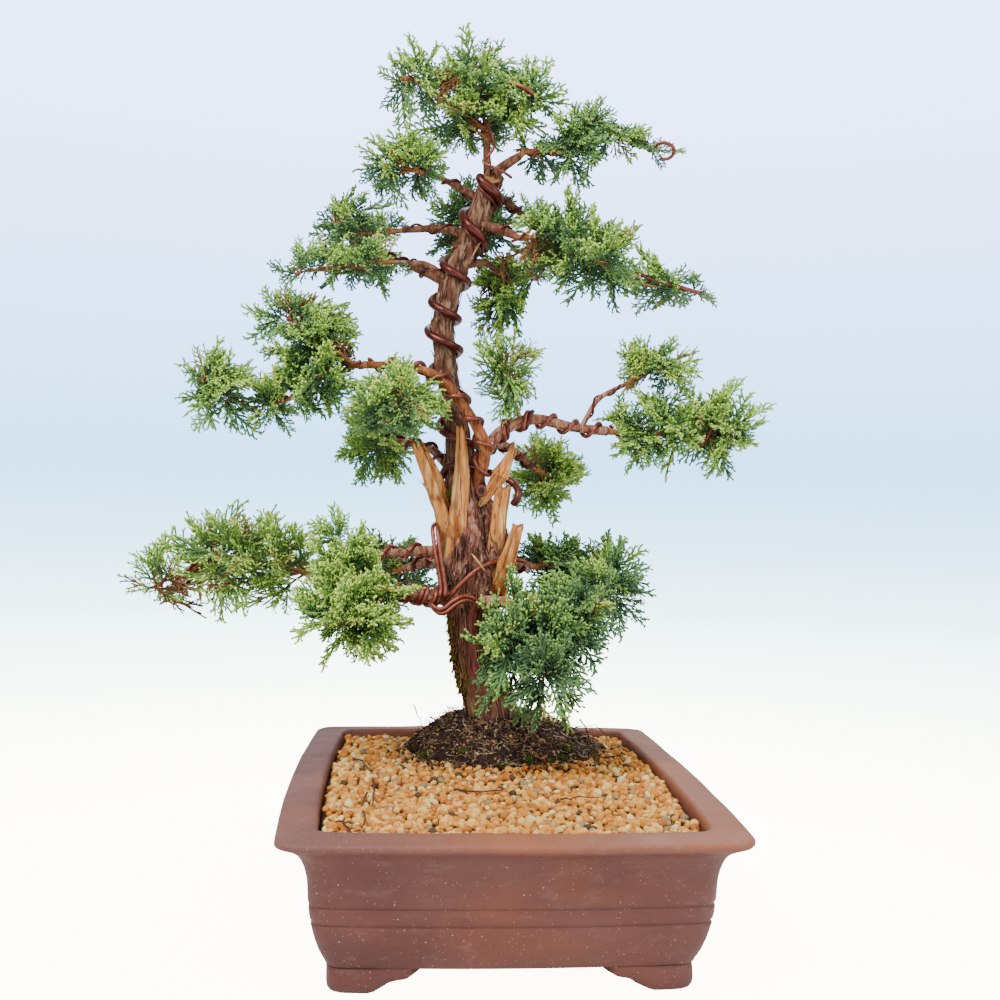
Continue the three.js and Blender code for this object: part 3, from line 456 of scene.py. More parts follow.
random = np.random.default_rng(31)
GRAIN_LAYERS = [
    ("soil_grit", PEBBLE, 5.15, 0.9, 0.93, (4.3, 7.2)),
    ("soil_fine_grit", CRUMB, 3.7, 2.6, 0.97, (2.6, 4.6)),
]
soil_pieces = []
for name, ball, pitch, sunk, reach, sizes in GRAIN_LAYERS:
    columns, rows = np.meshgrid(np.arange(-GRAIN_FIELD[0], GRAIN_FIELD[0], pitch),
                                np.arange(-GRAIN_FIELD[1], GRAIN_FIELD[1], pitch * ROW_PITCH))
    columns = columns + np.where(np.arange(len(rows)) % 2, pitch / 2, 0)[:, None]
    places = np.column_stack([columns.ravel(), rows.ravel()]) + random.uniform(-1.5, 1.5, (columns.size, 2))
    places = places[inside_pot(places, WALL_INSET) & (mound_reach(places) > reach)]
    heights = soil_height(places) - sunk + random.uniform(-1.3, 1.1, len(places))
    grains = Gathered()
    dealt = random.choice(len(GRAIN_TINTS), len(places), p=GRAIN_SHARES)
    across = sizes[0] + (sizes[1] - sizes[0]) * random.uniform(0, 1, len(places)) ** 1.6
    grains.add(*stones(random, ball, np.column_stack([places, heights]), across), dealt)
    soil_pieces.append(grains.make(name, grain_materials))
soil_bed = Gathered()
bed_profile = [(33.4, 22.3), (24.8, 69.8), (23.2, 79), (23.4, SOIL_TOP - 4.4)]
soil_bed.add(*loft(np.array([pot_outline(inset, height) for inset, height in bed_profile])))
soil_pieces.append(soil_bed.make("soil_bed", [bed_painted_shade]))
for piece in soil_pieces:
    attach(piece, "root")
    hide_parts("soil")

# Root mound: the old root ball stands proud of the grit as a low dome, a net of fine dark roots
# with crumbs of old soil, a few pale dead roots and patches of moss.
TRUNK_FOOT = 113.1
MOUND_TOP_RADIUS = 27
MOUND_STEPS = [(0, 0), (0.1, 0.17), (0.34, 0.44), (0.66, 0.78), (1, 1)]
TRUNK_PLACE = np.array([3, 74])
THIRD_OF_TURN = 2.0944


def lattice_noise(places, seed):
    """Smooth noise from 0 to 1 at places counted in cells"""
    cell = np.floor(places).astype(np.int64)
    part = places - cell
    part = part * part * (3 - 2 * part)
    total = np.zeros(places.shape[:-1])
    for corner in range(8):
        step = np.array([corner & 1, corner >> 1 & 1, corner >> 2 & 1])
        key = ((cell + step) * np.array([73856093, 19349663, 83492791])).sum(-1) + seed * 97531
        key = (key ^ (key >> 13)) * 1274126177 & 0xFFFFFFFF
        key = (key ^ (key >> 15)) * 2246822519 & 0xFFFFFFFF
        weight = np.prod(np.where(step, part, 1 - part), axis=-1)
        total += weight * ((key >> 8) & 0xFFFF) / 0xFFFF
    return total


def mound_point(angle, inward):
    """A place on the mound's skin: inward is 0 at the skirt and 1 at the trunk's foot"""
    ragged = 1 + (1 - inward) * (0.05 * np.sin(3 * angle + 1) + 0.04 * np.sin(7 * angle))
    steps = np.array(MOUND_STEPS)
    upward = np.interp(inward, steps[:, 0], steps[:, 1])
    centre = MOUND_CENTRE + (TRUNK_PLACE - MOUND_CENTRE) * inward[..., None]
    reach = MOUND_HALF * ragged[..., None] * (1 - inward[..., None]) + MOUND_TOP_RADIUS * inward[..., None]
    plan = centre + reach * ray(angle)[..., :2]
    return np.concatenate([plan, (SOIL_TOP + (TRUNK_FOOT - SOIL_TOP) * upward)[..., None]], axis=-1)


def unit(vectors):
    return vectors / np.maximum(np.linalg.norm(vectors, axis=-1, keepdims=True), 1e-9)


def strands(paths, radii, sides=3, flat=1.0):
    """Many tapering shoots at once, each through its own path and closed to a point at the end"""
    count, steps = paths.shape[:2]
    ahead = unit(np.gradient(paths, axis=1))
    first = unit(paths[:, -1] - paths[:, 0])
    level = np.where(np.abs(first[:, 2:]) > 0.9, [[1.0, 0, 0]], [[0, 0, 1.0]])[:, None]
    side = unit(np.cross(ahead, level))
    through = np.cross(ahead, side)
    angle = np.arange(sides) / sides * 2 * math.pi
    reach = radii[:, :-1, None, None]
    rings = (paths[:, :-1, None] + side[:, :-1, None] * np.cos(angle)[:, None] * reach
             + through[:, :-1, None] * np.sin(angle)[:, None] * reach * flat)
    each = (steps - 1) * sides + 1
    points = np.concatenate([rings.reshape(count, -1, 3), paths[:, -1:]], axis=1)
    walls, index, right = wall_faces(steps - 1, sides)
    tips = np.stack([index[-1], right[-1], np.full(sides, each - 1)], axis=-1)
    roots = index[0][::-1][None]
    shift = (np.arange(count) * each)[:, None, None]
    blocks = [(block[None] + shift).reshape(-1, block.shape[1]) for block in (walls, tips, roots)]
    return points.reshape(-1, 3), blocks


def shoots(feet, grown, knee=0.5):
    """Paths of shoots through three points"""
    return np.stack([feet, feet + grown * knee, feet + grown], axis=1)


def spindles(feet, tips, thick):
    """Many short shoots at once, each a point, a three-sided ring and a point"""
    ahead = unit(tips - feet)
    side = unit(np.cross(ahead, [0.28, 0.17, 0.94]))
    through = np.cross(ahead, side)
    middle = feet + (tips - feet) * 0.78
    ring = [middle + (side * math.cos(turn) + through * math.sin(turn)) * thick[:, None]
            for turn in (0, THIRD_OF_TURN, 2 * THIRD_OF_TURN)]
    points = np.stack([feet, *ring, tips], axis=1).reshape(-1, 3)
    corners = np.array([(0, 2, 1), (0, 3, 2), (0, 1, 3), (4, 1, 2), (4, 2, 3), (4, 3, 1)])
    return points, [(corners[None] + 5 * np.arange(len(feet))[:, None, None]).reshape(-1, 3)]


random = np.random.default_rng(57)
angles, inwards = np.meshgrid(np.linspace(0, 2 * math.pi, 144, endpoint=False), np.linspace(0, 1, 40))
mound_rings = mound_point(angles, inwards)
rough = lattice_noise(mound_rings / [13, 13, 9], 2) * 5 + lattice_noise(mound_rings / [5, 5, 4], 3) * 3.2
rough = rough + lattice_noise(mound_rings / 2, 4) * 1.8
mound_rings[..., 2] += (rough - 4.6) * np.clip(inwards * 9, 0, 1) * np.clip((1 - inwards) * 6, 0.25, 1)
mound_rings[0, :, 2] = SOIL_TOP - 3
mound_shape = Gathered()
mound_shape.add(*loft(mound_rings))

count = 2600
crumb_places = mound_point(random.uniform(0, 2 * math.pi, count), random.uniform(0, 1, count) ** 0.8)
crumb_places[:, 2] += random.uniform(-0.6, 0.8, count)
crumb_tints = random.choice(5, count, p=[0.4, 0.26, 0.14, 0.06, 0.14])
mound_shape.add(*stones(random, CRUMB, crumb_places, random.uniform(1.1, 3.4, count)), crumb_tints)
count = 900
turn = random.uniform(0, 2 * math.pi, count)
spilt = 0.97 + 0.3 * random.uniform(0, 1, count) ** 2
spilt = MOUND_CENTRE + ray(turn)[:, :2] * spilt[:, None] * MOUND_HALF
spilt = np.column_stack([spilt, soil_height(spilt) + random.uniform(0.4, 1.6, count)])
mound_shape.add(*stones(random, CRUMB, spilt, random.uniform(0.9, 2.6, count)), random.choice(3, count))

count = 2300
steps = 6
root_angle = random.uniform(0, 2 * math.pi, count)
root_start = random.uniform(0.02, 0.98, count)
drift = random.normal(0, 0.03, (count, steps)).cumsum(1)
drift = drift + random.normal(0, 0.012, (count, 1)) * np.arange(steps)
slide = random.normal(0, 0.018, (count, steps)).cumsum(1)
slide = slide - random.uniform(0.0, 0.05, (count, 1)) * np.arange(steps)
root_paths = mound_point(root_angle[:, None] + drift, np.clip(root_start[:, None] + slide, 0, 1))
lift = random.uniform(0, 1.2, (count, 1)) + np.abs(random.normal(0, 1, (count, steps))).cumsum(1) * 0.35
loose = random.random((count, 1)) < 0.16
lift = lift + loose * np.arange(steps) * random.uniform(0.2, 1.6, (count, 1))
root_paths[..., 2] += lift
thick = random.uniform(0.16, 0.5, (count, 1)) * np.linspace(1, 0.5, steps)
root_tints = random.choice(4, count, p=[0.3, 0.34, 0.24, 0.12])
mound_shape.add(*strands(root_paths, thick), root_tints)

ROOT_TINTS = ["#3c2c26", "#7b5b47", "#ba926e", "#f0d6b2", "#d89c56"]
root_materials = [mottled(f"fine_roots_{index}", shaded(colour, 0.45), linear(colour), 300, 4, (0.95, 0.2),
                          (0.3, 0.7), (0.7, 0.001)) for index, colour in enumerate(ROOT_TINTS)]

mound = mound_shape.make("fine_root_mound", root_materials)
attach(mound, "root")
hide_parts("root_mound")

MOSS_PATCHES = [(-1.35, 0.16, 6), (-1.12, 0.07, 5), (-1.62, 0.06, 4), (-0.7, 0.3, 7), (-2.5, 0.12, 6),
                (-0.5, 0.2, 5), (-0.35, 0.1, 8), (0.6, 0.25, 12), (1.7, 0.2, 12), (2.6, 0.3, 10),
                (-2.05, 0.28, 4), (-0.9, 0.12, 5)]
moss_shape = Gathered()
for angle, inward, reach in MOSS_PATCHES:
    count = int(reach * 34)
    centre = mound_point(np.array([angle]), np.array([inward]))[0]
    away = random.normal(0, reach / 2.4, (count, 2))
    foot = centre + np.column_stack([away, np.zeros(count)])
    off = (foot[:, :2] - MOUND_CENTRE) / MOUND_HALF
    level = np.clip(inward - (mound_reach(foot[:, :2]) - mound_reach(centre[:2])), 0, 1)
    foot[:, 2] = mound_point(np.arctan2(off[:, 1], off[:, 0]), level)[:, 2] - 0.4
    up = unit(np.column_stack([random.normal(0, 0.5, (count, 2)), np.ones(count)]))
    tall = random.uniform(1, 2.6, (count, 1))
    moss_radii = np.tile([0.45, 0.35, 0], (count, 1))
    moss_shape.add(*strands(shoots(foot, up * tall, 0.6), moss_radii), random.choice(3, count))
MOSS_TINTS = ["#55621f", "#7b8530", "#39451c"]
moss_materials = [mottled(f"moss_{index}", linear("#2c3616"), linear(colour), 900, 2, (0.9, 0.2))
                  for index, colour in enumerate(MOSS_TINTS)]
moss = moss_shape.make("moss_patches", moss_materials)
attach(moss, "root")

# Trunk: an old slender juniper trunk under shredded red-brown bark. It flares into root spurs,
# swells at the junction where the first boughs and the dead wood leave it, and ends in a saw cut.
TRUNK_STATIONS = np.array([
    (3, 74, 113.1, 20), (-3, 73, 129, 17.5), (-12, 72, 156, 15), (-15, 70, 182, 15.5),
    (-14, 68, 204, 21.5), (-13, 68, 226, 25.5), (-16, 68, 253, 22), (-20, 69, 277, 15),
    (-25, 71, 302, 10.6), (-29, 72, 327, 8.8), (-36, 72, 360, 7.9), (-40.3, 72, 397, 7.7),
    (-33.5, 72, 429, 8.4), (-19.5, 70, 462, 8.5), (-12, 69, 487, 8.4), (-2, 67, 515, 7.6),
])
TRUNK_TOP = 515
TRUNK_SIDES = 132
TRUNK_RINGS = 440


def trunk_at(height):
    """The trunk's heart and radius at heights"""
    row = np.clip(np.searchsorted(TRUNK_STATIONS[:, 2], height) - 1, 0, len(TRUNK_STATIONS) - 2)
    low = TRUNK_STATIONS[row]
    high = TRUNK_STATIONS[row + 1]
    share = ((height - low[..., 2]) / (high[..., 2] - low[..., 2]))[..., None]
    smooth = (share * share * (3 - 2 * share))[..., 0]
    heart = low[..., :3] + (high[..., :3] - low[..., :3]) * share
    return heart, low[..., 3] + (high[..., 3] - low[..., 3]) * smooth


def fluting(angle, height):
    spurs = np.maximum(0, 1 - (height - TRUNK_FOOT) / 30) * 0.12 * np.cos(3 * angle + 0.6)
    swell = np.exp(-(((height - 222) / 34) ** 2)) * 0.1 * np.cos(2 * angle)
    return 1 + spurs + swell + 0.04 * np.sin(5 * angle + height / 26)


def bark_relief(places, seed, depth):
    """How far bark stands out or lies back: long fibres that run up the limb, and loose plates"""
    twist = places.copy()
    twist[..., 0] += places[..., 2] * 0.12
    fibres = lattice_noise(twist / [2.6, 2.6, 24], seed)
    fibres = fibres + 0.5 * lattice_noise(twist / [1.3, 1.3, 11], seed + 1)
    plates = np.abs(lattice_noise(twist / [5.5, 5.5, 30], seed + 2) - 0.5) * 2
    return depth * ((fibres - 0.75) * 0.9 + (np.clip(plates * 3, 0, 1) - 0.8) * 0.9)


random = np.random.default_rng(11)
heights = np.linspace(TRUNK_FOOT - 2, TRUNK_TOP, TRUNK_RINGS)
angles = np.linspace(0, 2 * math.pi, TRUNK_SIDES, endpoint=False)
angle_grid, height_grid = np.meshgrid(angles, heights)
CUT_START = 486
CUT_MIDDLE = 505
CUT_RADIUS = 7.8
CUT_SLOPE = np.array([-0.26, 0.82])
cut_height = CUT_MIDDLE + CUT_RADIUS * np.column_stack([np.cos(angles), np.sin(angles)]) @ CUT_SLOPE
squeeze = (cut_height - CUT_START) / (TRUNK_TOP - CUT_START)
height_grid = np.where(height_grid > CUT_START, CUT_START + (height_grid - CUT_START) * squeeze, height_grid)
hearts, radii = trunk_at(height_grid)
outward = ray(angle_grid)
smooth_reach = radii * fluting(angle_grid, height_grid)
trunk_rings = hearts + outward * smooth_reach[..., None]
depth = np.interp(heights, [113, 190, 235, 300, 515], [1.3, 1.8, 3.0, 1.6, 1.5])[:, None]
relief = bark_relief(trunk_rings, 21, depth)
HOLLOWS = [(-1.22, 250, 4, 15, 7), (-1.2, 234, 5, 7, 6), (-0.95, 272, 5, 11, 4), (-2.4, 205, 5, 8, 4),
           (-1.3, 221, 5, 4, 4), (-1.55, 241, 7, 11, -4.5), (-1.5, 262, 4, 16, -3), (-2.1, 214, 8, 9, -2),
           (-1.3, 205, 7, 6, -2)]
for angle, height, wide, tall, deep in HOLLOWS:
    sideways = np.angle(np.exp(1j * (angle_grid - angle))) * smooth_reach / wide
    relief -= deep * np.exp(-(sideways ** 2 + ((height_grid - height) / tall) ** 2))
BARE_SIDES = (2.98, 4.46)
BARE_EDGE = ([2.98, 3.3, 3.75, 4.05, 4.46], [238, 227, 228, 237, 252])
BARE_TOP = 273
ragged = lattice_noise(trunk_rings / [2.6, 2.6, 9], 31) - 0.5
ragged = ragged + 0.5 * (lattice_noise(trunk_rings / [1.2, 1.2, 5], 32) - 0.5)
bare = (angle_grid > BARE_SIDES[0] + ragged * 0.2) & (angle_grid < BARE_SIDES[1] + ragged * 0.2)
bare &= height_grid > np.interp(angle_grid, *BARE_EDGE) + ragged * 11
bare &= height_grid < BARE_TOP + ragged * 11
grain = lattice_noise(trunk_rings / [1.5, 1.5, 40], 33)
grain = grain + 0.5 * lattice_noise(trunk_rings / [0.9, 0.9, 22], 34)
relief = np.where(bare, (grain - 0.75) * 1.3 - 0.7, relief)
trunk_rings = trunk_rings + outward * relief[..., None]
trunk_shape = Gathered()
cut_middle = trunk_rings[-1].mean(0)
cut_faces = [cut_middle + (trunk_rings[-1] - cut_middle) * wide + [0, 0, low]
             for wide, low in ((0.9, 0.2), (0.86, -0.5), (0.4, -0.3))]
trunk_shape.add(*loft(np.concatenate([trunk_rings, cut_faces])))
# Wall faces are bark (0), bare wood (2) or the cut (1); the caps below and above are bark and cut
wall_tints = np.repeat([0, 1], [TRUNK_SIDES * TRUNK_RINGS, TRUNK_SIDES * 2])
wall_tints[:TRUNK_SIDES * (TRUNK_RINGS - 1)][bare[:-1].ravel()] = 2
trunk_shape.tints = [wall_tints, np.zeros(TRUNK_SIDES, int), np.ones(TRUNK_SIDES, int)]

fibre, fibre_in, fibre_out = new_group(
    "long_fibres",
    [("Across per metre", "NodeSocketFloat", 500), ("Along per metre", "NodeSocketFloat", 30)],
    [("Streaks", "NodeSocketFloat"), ("Fine", "NodeSocketFloat")])
fibre_scale = add_node(fibre, "ShaderNodeCombineXYZ", {
    0: fibre_in["Across per metre"], 1: fibre_in["Across per metre"], 2: fibre_in["Along per metre"]})
fibre_cells = stretched(fibre, fibre_scale.outputs[0])
fibre.links.new(noise(fibre, fibre_cells, 4, 0.6), fibre_out["Streaks"])
fibre_finer = add_node(fibre, "ShaderNodeVectorMath", {0: fibre_cells, 1: (3.1, 3.1, 3.1)},
                       operation="MULTIPLY")
fibre.links.new(noise(fibre, fibre_finer.outputs[0], 5, 0.7), fibre_out["Fine"])


def fibrous(name, dark, light, along, finish, bump=None, ends=(0.35, 0.65)):
    """A material with long fibres from dark to light; finish is its roughness and specular"""
    material, tree, shader = new_material(name, *finish)
    fibres = use_group(tree, fibre, Across_per_metre=500, Along_per_metre=along)
    shares = spread(tree, fibres["Streaks"], *ends)
    tree.links.new(mixed(tree, shares, linear(dark), linear(light)), shader.inputs["Base Color"])
    if bump:
        set_bump(tree, shader, fibres["Fine"], 0.5, bump)
    return material


def furrow_shade_depth(tree):
    """How deep in a furrow the surface lies, as set_furrows writes it, as a mask for painted shade"""
    return add_node(tree, "ShaderNodeAttribute", attribute_name="furrow").outputs["Fac"]


def bark_material(name, furrow, body, plate, flake, moss_amount=0):
    """Shredded bark: dark streaks and clefts, red-brown between, paler weathered flakes, and painted shade
    deep in the furrows
    """
    material, tree, shader = new_material(name, 0.85, 0.25)
    fibres = use_group(tree, fibre, Across_per_metre=420, Along_per_metre=34)
    colour = mixed(tree, spread(tree, fibres["Streaks"], 0.3, 0.62), linear(furrow), linear(body))
    plates = patches(tree, (230, 230, 55), 0.47, 0.58, 5, 0.65)
    colour = stained(tree, colour, plate, plates, 0.85)
    clefts = patches(tree, (330, 330, 45), 0.42, 0.34, 3, 0.6)
    colour = stained(tree, colour, furrow, clefts, 0.85)
    worn = spread(tree, fibres["Fine"], 0.56, 0.68)
    colour = stained(tree, colour, flake, worn, 0.75)
    # Painted shade: the bark takes the dark furrow colour where it lies deep in a furrow
    colour = stained(tree, colour, furrow, furrow_shade_depth(tree))
    # The trunk's bark alone also gets painted shade over its upper part, tan patches, scabs and pits at the
    # junction, and a film of moss low on its left
    if moss_amount:
        up = coordinate(tree, 2)
        # Painted shade: the bark is darkened all over the trunk's upper part
        colour = mixed(tree, spread(tree, up, 0.286, 0.335), colour, (0.66, 0.68, 0.58, 1), "MULTIPLY")
        tan = patches(tree, (260, 260, 75), 0.5, 0.6, 4, 0.6)
        colour = stained(tree, colour, "#a98a6a", tan, spread(tree, up, 0.31, 0.37), 0.65)
        junction = maths(tree, "MULTIPLY", spread(tree, up, 0.195, 0.22), spread(tree, up, 0.31, 0.275))
        scabs = patches(tree, (190, 190, 110), 0.5, 0.58, 5, 0.7)
        colour = stained(tree, colour, "#bd8c74", scabs, junction, 0.75)
        pits = patches(tree, (150, 150, 75), 0.44, 0.37, 4, 0.6)
        colour = stained(tree, colour, "#2b1610", pits, junction, 0.85)
        facing = add_node(tree, "ShaderNodeNewGeometry").outputs["Normal"]
        facing = add_node(tree, "ShaderNodeSeparateXYZ", {0: facing}).outputs[0]
        low = spread(tree, up, 0.218, 0.173)
        left = spread(tree, facing, -0.15, -0.75)
        film = patches(tree, (160, 160, 70), 0.42, 0.56, 5, 0.65)
        colour = stained(tree, colour, "#6f5d26", film, low, left, moss_amount)
    tree.links.new(colour, shader.inputs["Base Color"])
    rough = maths(tree, "ADD", fibres["Streaks"], maths(tree, "MULTIPLY", fibres["Fine"], 0.7))
    set_bump(tree, shader, rough, 0.8, 0.0012)
    return material


def set_furrows(piece, values):
    """How deep in the bark each point lies, from 0 on the plates to 1 at the bottom of a crack; the materials
    paint shade by it
    """
    attribute = piece.data.attributes.new("furrow", "FLOAT", "POINT")
    spare = len(piece.data.vertices) - len(values)
    attribute.data.foreach_set("value", np.concatenate([values, np.zeros(spare)]).astype(np.float32))


bark = bark_material("shredded_bark", "#3a231b", "#80493a", "#9b6753", "#c09a86", 0.9)
cut_wood, tree, shader = new_material("saw_cut", 0.7, 0.3)
waves = {"Vector": stretched(tree, (1, 1, 1)), "Scale": 700, "Distortion": 2}
year_rings = add_node(tree, "ShaderNodeTexWave", waves, wave_type="RINGS", rings_direction="Z").outputs["Fac"]
tree.links.new(mixed(tree, year_rings, linear("#b9753c"), linear("#d9a063")), shader.inputs["Base Color"])
dead_wood, tree, shader = new_material("bare_dead_wood", 0.7, 0.3)
fibres = use_group(tree, fibre, Across_per_metre=650, Along_per_metre=22)
colour = mixed(tree, spread(tree, fibres["Streaks"], 0.32, 0.62), linear("#c27434"), linear("#eea255"))
pale = patches(tree, (180, 180, 24), 0.5, 0.68, 3)
colour = stained(tree, colour, "#ffd28a", pale, 0.85)
rust = patches(tree, (120, 120, 16), 0.55, 0.67, 4, 0.6)
colour = stained(tree, colour, "#a8501c", rust, 0.8)
cracks = spread(tree, use_group(tree, fibre, Across_per_metre=520, Along_per_metre=9)["Streaks"], 0.42, 0.36)
colour = stained(tree, colour, "#703410", cracks, 0.85)
fine_lines = spread(tree, fibres["Fine"], 0.47, 0.4)
colour = stained(tree, colour, "#94521e", fine_lines, 0.45)
burl = patches(tree, (130, 130, 110), 0.42, 0.52, 4)
colour = stained(tree, colour, "#a23e18", burl, spread(tree, coordinate(tree, 2), 0.223, 0.211), 0.85)
# Painted shade: the bare wood darkens down in its splits and grooves
colour = stained(tree, colour, "#7d3c14", furrow_shade_depth(tree), 0.9)
tree.links.new(colour, shader.inputs["Base Color"])
set_bump(tree, shader, maths(tree, "ADD", fibres["Streaks"], fibres["Fine"]), 0.8, 0.0009)

trunk = trunk_shape.make("trunk_bark", [bark, cut_wood, dead_wood])
# Depth in the grooves of the bare wood and the furrows of the bark, which the materials darken as painted
# shade
furrows = np.where(bare, np.clip(0.7 - grain, 0, 0.8), np.clip(-relief / (depth * 1.1) - 0.1, 0, 1))
set_furrows(trunk, furrows.ravel())
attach(trunk, "root")
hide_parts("trunk")

# Loose bark: strips that peel off the old trunk in shreds, with one broad red strip down the front,
# chips at the junction, a knot with a dark eye, and dry moss that hangs from the shaded side.
RED_STRIP = (118, 196)
RED_STRIP_ROWS = 40
CHIP_COUNT = 420
CHIP_SIDES = (70, 127)
CHIP_RINGS = (84, 126)
CHIP_RINGS_HIGHER = 52
FRONT_SIDE = 94
KNOT_PLACE = np.array([-10.5, 53, 275.9])
KNOT_SECTION = [(4.2, -3), (4, 1), (3.2, 2), (2.4, 1.6), (1.6, 0.4), (0.6, 0)]
EYE_SECTION = [(2.4, 1.0), (2.1, 1.55), (1.4, 1.2), (0.4, 1.0)]
STRIP_TINTS = [("#5b3327", "#8b5644"), ("#7d4c3a", "#a77a63"), ("#8d6853", "#b08c74"), ("#5c2a21", "#84463a"),
               ("#b5763c", "#e2ac6c"), ("#1f100b", "#43241a")]


def on_bark(angle, height, out):
    """Points standing out from the bark at angles and heights"""
    heart, radius = trunk_at(height)
    reach = radius * fluting(angle, height) + out
    return heart + ray(angle) * reach[..., None]


count = 620
strip_angle = random.uniform(-math.pi, math.pi, count)
strip_height = np.where(random.random(count) < 0.7, random.uniform(122, 285, count),
                        random.uniform(285, 505, count))
long = random.uniform(6, 34, count) * np.where(strip_height > 285, 0.6, 1)
steps = 5
share = np.linspace(0, 1, steps)
drop = np.where(random.random(count) < 0.65, -1, 1)
strip_heights = np.clip(strip_height[:, None] + drop[:, None] * long[:, None] * share, 114, 513)
strip_angles = strip_angle[:, None] + random.normal(0, 0.12, (count, 1)) * share
peel = random.uniform(0, 1, (count, 1)) ** 3 * 5 * share ** 2 + 0.7
strip_paths = on_bark(strip_angles, strip_heights, peel)
strip_wide = random.uniform(0.35, 1.5, (count, 1)) * np.array([0.7, 1, 1, 0.8, 0])
strip_shape = Gathered()
strip_shape.add(*strands(strip_paths, strip_wide, 4, 0.3), random.choice(3, count, p=[0.45, 0.35, 0.2]))

red_height = np.linspace(*RED_STRIP, RED_STRIP_ROWS)
red_wide = 3.9 * np.clip(np.minimum(np.linspace(0.35, 6, RED_STRIP_ROWS),
                                    np.linspace(7, 0.3, RED_STRIP_ROWS)), 0, 1)
red_rings = []
for across in (-1, -0.6, 0, 0.6, 1, 0.6, 0, -0.6):
    out = -0.5 if len(red_rings) > 4 else 1.9 - abs(across) * 1.1
    sideways = across * red_wide / np.interp(red_height, RED_STRIP, [17, 18])
    angle = -1.72 + 0.0022 * (red_height - RED_STRIP[0]) + sideways
    red_rings.append(on_bark(angle, red_height, np.full(RED_STRIP_ROWS, out)))
strip_shape.add(*loft(np.array(red_rings).transpose(1, 0, 2)), 3)
splinter = np.array([[(-17, 42, 231.5), (-15.2, 39, 229.3), (-11.5, 37, 224.5), (-8, 37.5, 220),
                      (-5.5, 40, 217.5)]])
strip_shape.add(*strands(splinter, np.array([[0.6, 1.3, 1.7, 1.2, 0]]), 6, 0.4), 4)
chip_side = random.integers(*CHIP_SIDES, CHIP_COUNT)
chip_ring = random.integers(*CHIP_RINGS, CHIP_COUNT)
chip_ring += np.where(chip_side > FRONT_SIDE, random.integers(0, CHIP_RINGS_HIGHER, CHIP_COUNT), 0)
share = np.linspace(0, 1, 4)
chip_rings = (chip_ring[:, None] - random.uniform(3, 10, (CHIP_COUNT, 1)) * share).astype(int)
chip_sides = (chip_side[:, None] + random.normal(0, 1.5, (CHIP_COUNT, 1)) * share).astype(int) % TRUNK_SIDES
lift = random.uniform(0, 1, (CHIP_COUNT, 1)) ** 2 * 3 * share ** 2 + 0.3
chip_paths = trunk_rings[chip_rings, chip_sides] + outward[chip_rings, chip_sides] * lift[..., None]
chip_paths = chip_paths[~bare[chip_rings, chip_sides].any(axis=1)]
chip_wide = random.uniform(0.4, 1.3, (len(chip_paths), 1)) * np.array([0.6, 1, 0.8, 0])
strip_shape.add(*strands(chip_paths, chip_wide, 4, 0.3),
                random.choice(3, len(chip_paths), p=[0.35, 0.35, 0.3]))
turn = np.linspace(0, 2 * math.pi, 20, endpoint=False)
for section, tint in ((KNOT_SECTION, 3), (EYE_SECTION, 5)):
    knot_rings = [np.column_stack([np.cos(turn) * wide, turn * 0 - out, np.sin(turn) * wide * 1.1])
                  for wide, out in section]
    strip_shape.add(*loft(KNOT_PLACE + knot_rings), tint)
strip_materials = [fibrous(f"bark_strip_{index}", *tints, 40, (0.75, 0.3), 0.0006)
                   for index, tints in enumerate(STRIP_TINTS)]
strips = strip_shape.make("loose_bark", strip_materials)
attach(strips, "root")

count = 260
hang_height = random.uniform(132, 196, count)
hang_angle = random.normal(-2.95, 0.3, count)
foot = on_bark(hang_angle, hang_height, np.full(count, 0.5))
fall = np.column_stack([random.normal(-1.2, 1.2, count), random.normal(0, 1, count),
                        -random.uniform(1.5, 7, count)])
paths = np.stack([foot, foot + fall * 0.5 + random.normal(0, 0.5, (count, 3)), foot + fall], axis=1)
dry_moss_shape = Gathered()
hang_wide = np.array([0.8, 1.0, 0]) * random.uniform(0.4, 1.1, (count, 1))
dry_moss_shape.add(*strands(paths, hang_wide), random.choice(2, count))
count = 80
tuft = np.array([-33.5, 52.5, 272.5]) + random.normal(0, 1.2, (count, 3))
grow = random.normal(0, 0.7, (count, 3)) + [0, -0.9, 0.6]
dry_moss_shape.add(*strands(shoots(tuft, grow * 2), np.tile([0.5, 0.6, 0], (count, 1))), 2)
DRY_MOSS_TINTS = ["#a8842e", "#6b5a22", "#66762c"]
dry_moss_materials = [mottled(f"dry_moss_{index}", linear("#33290f"), linear(colour), 700, 3, (0.95, 0.1))
                      for index, colour in enumerate(DRY_MOSS_TINTS)]
dry_moss = dry_moss_shape.make("dry_moss", dry_moss_materials)
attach(dry_moss, "root")

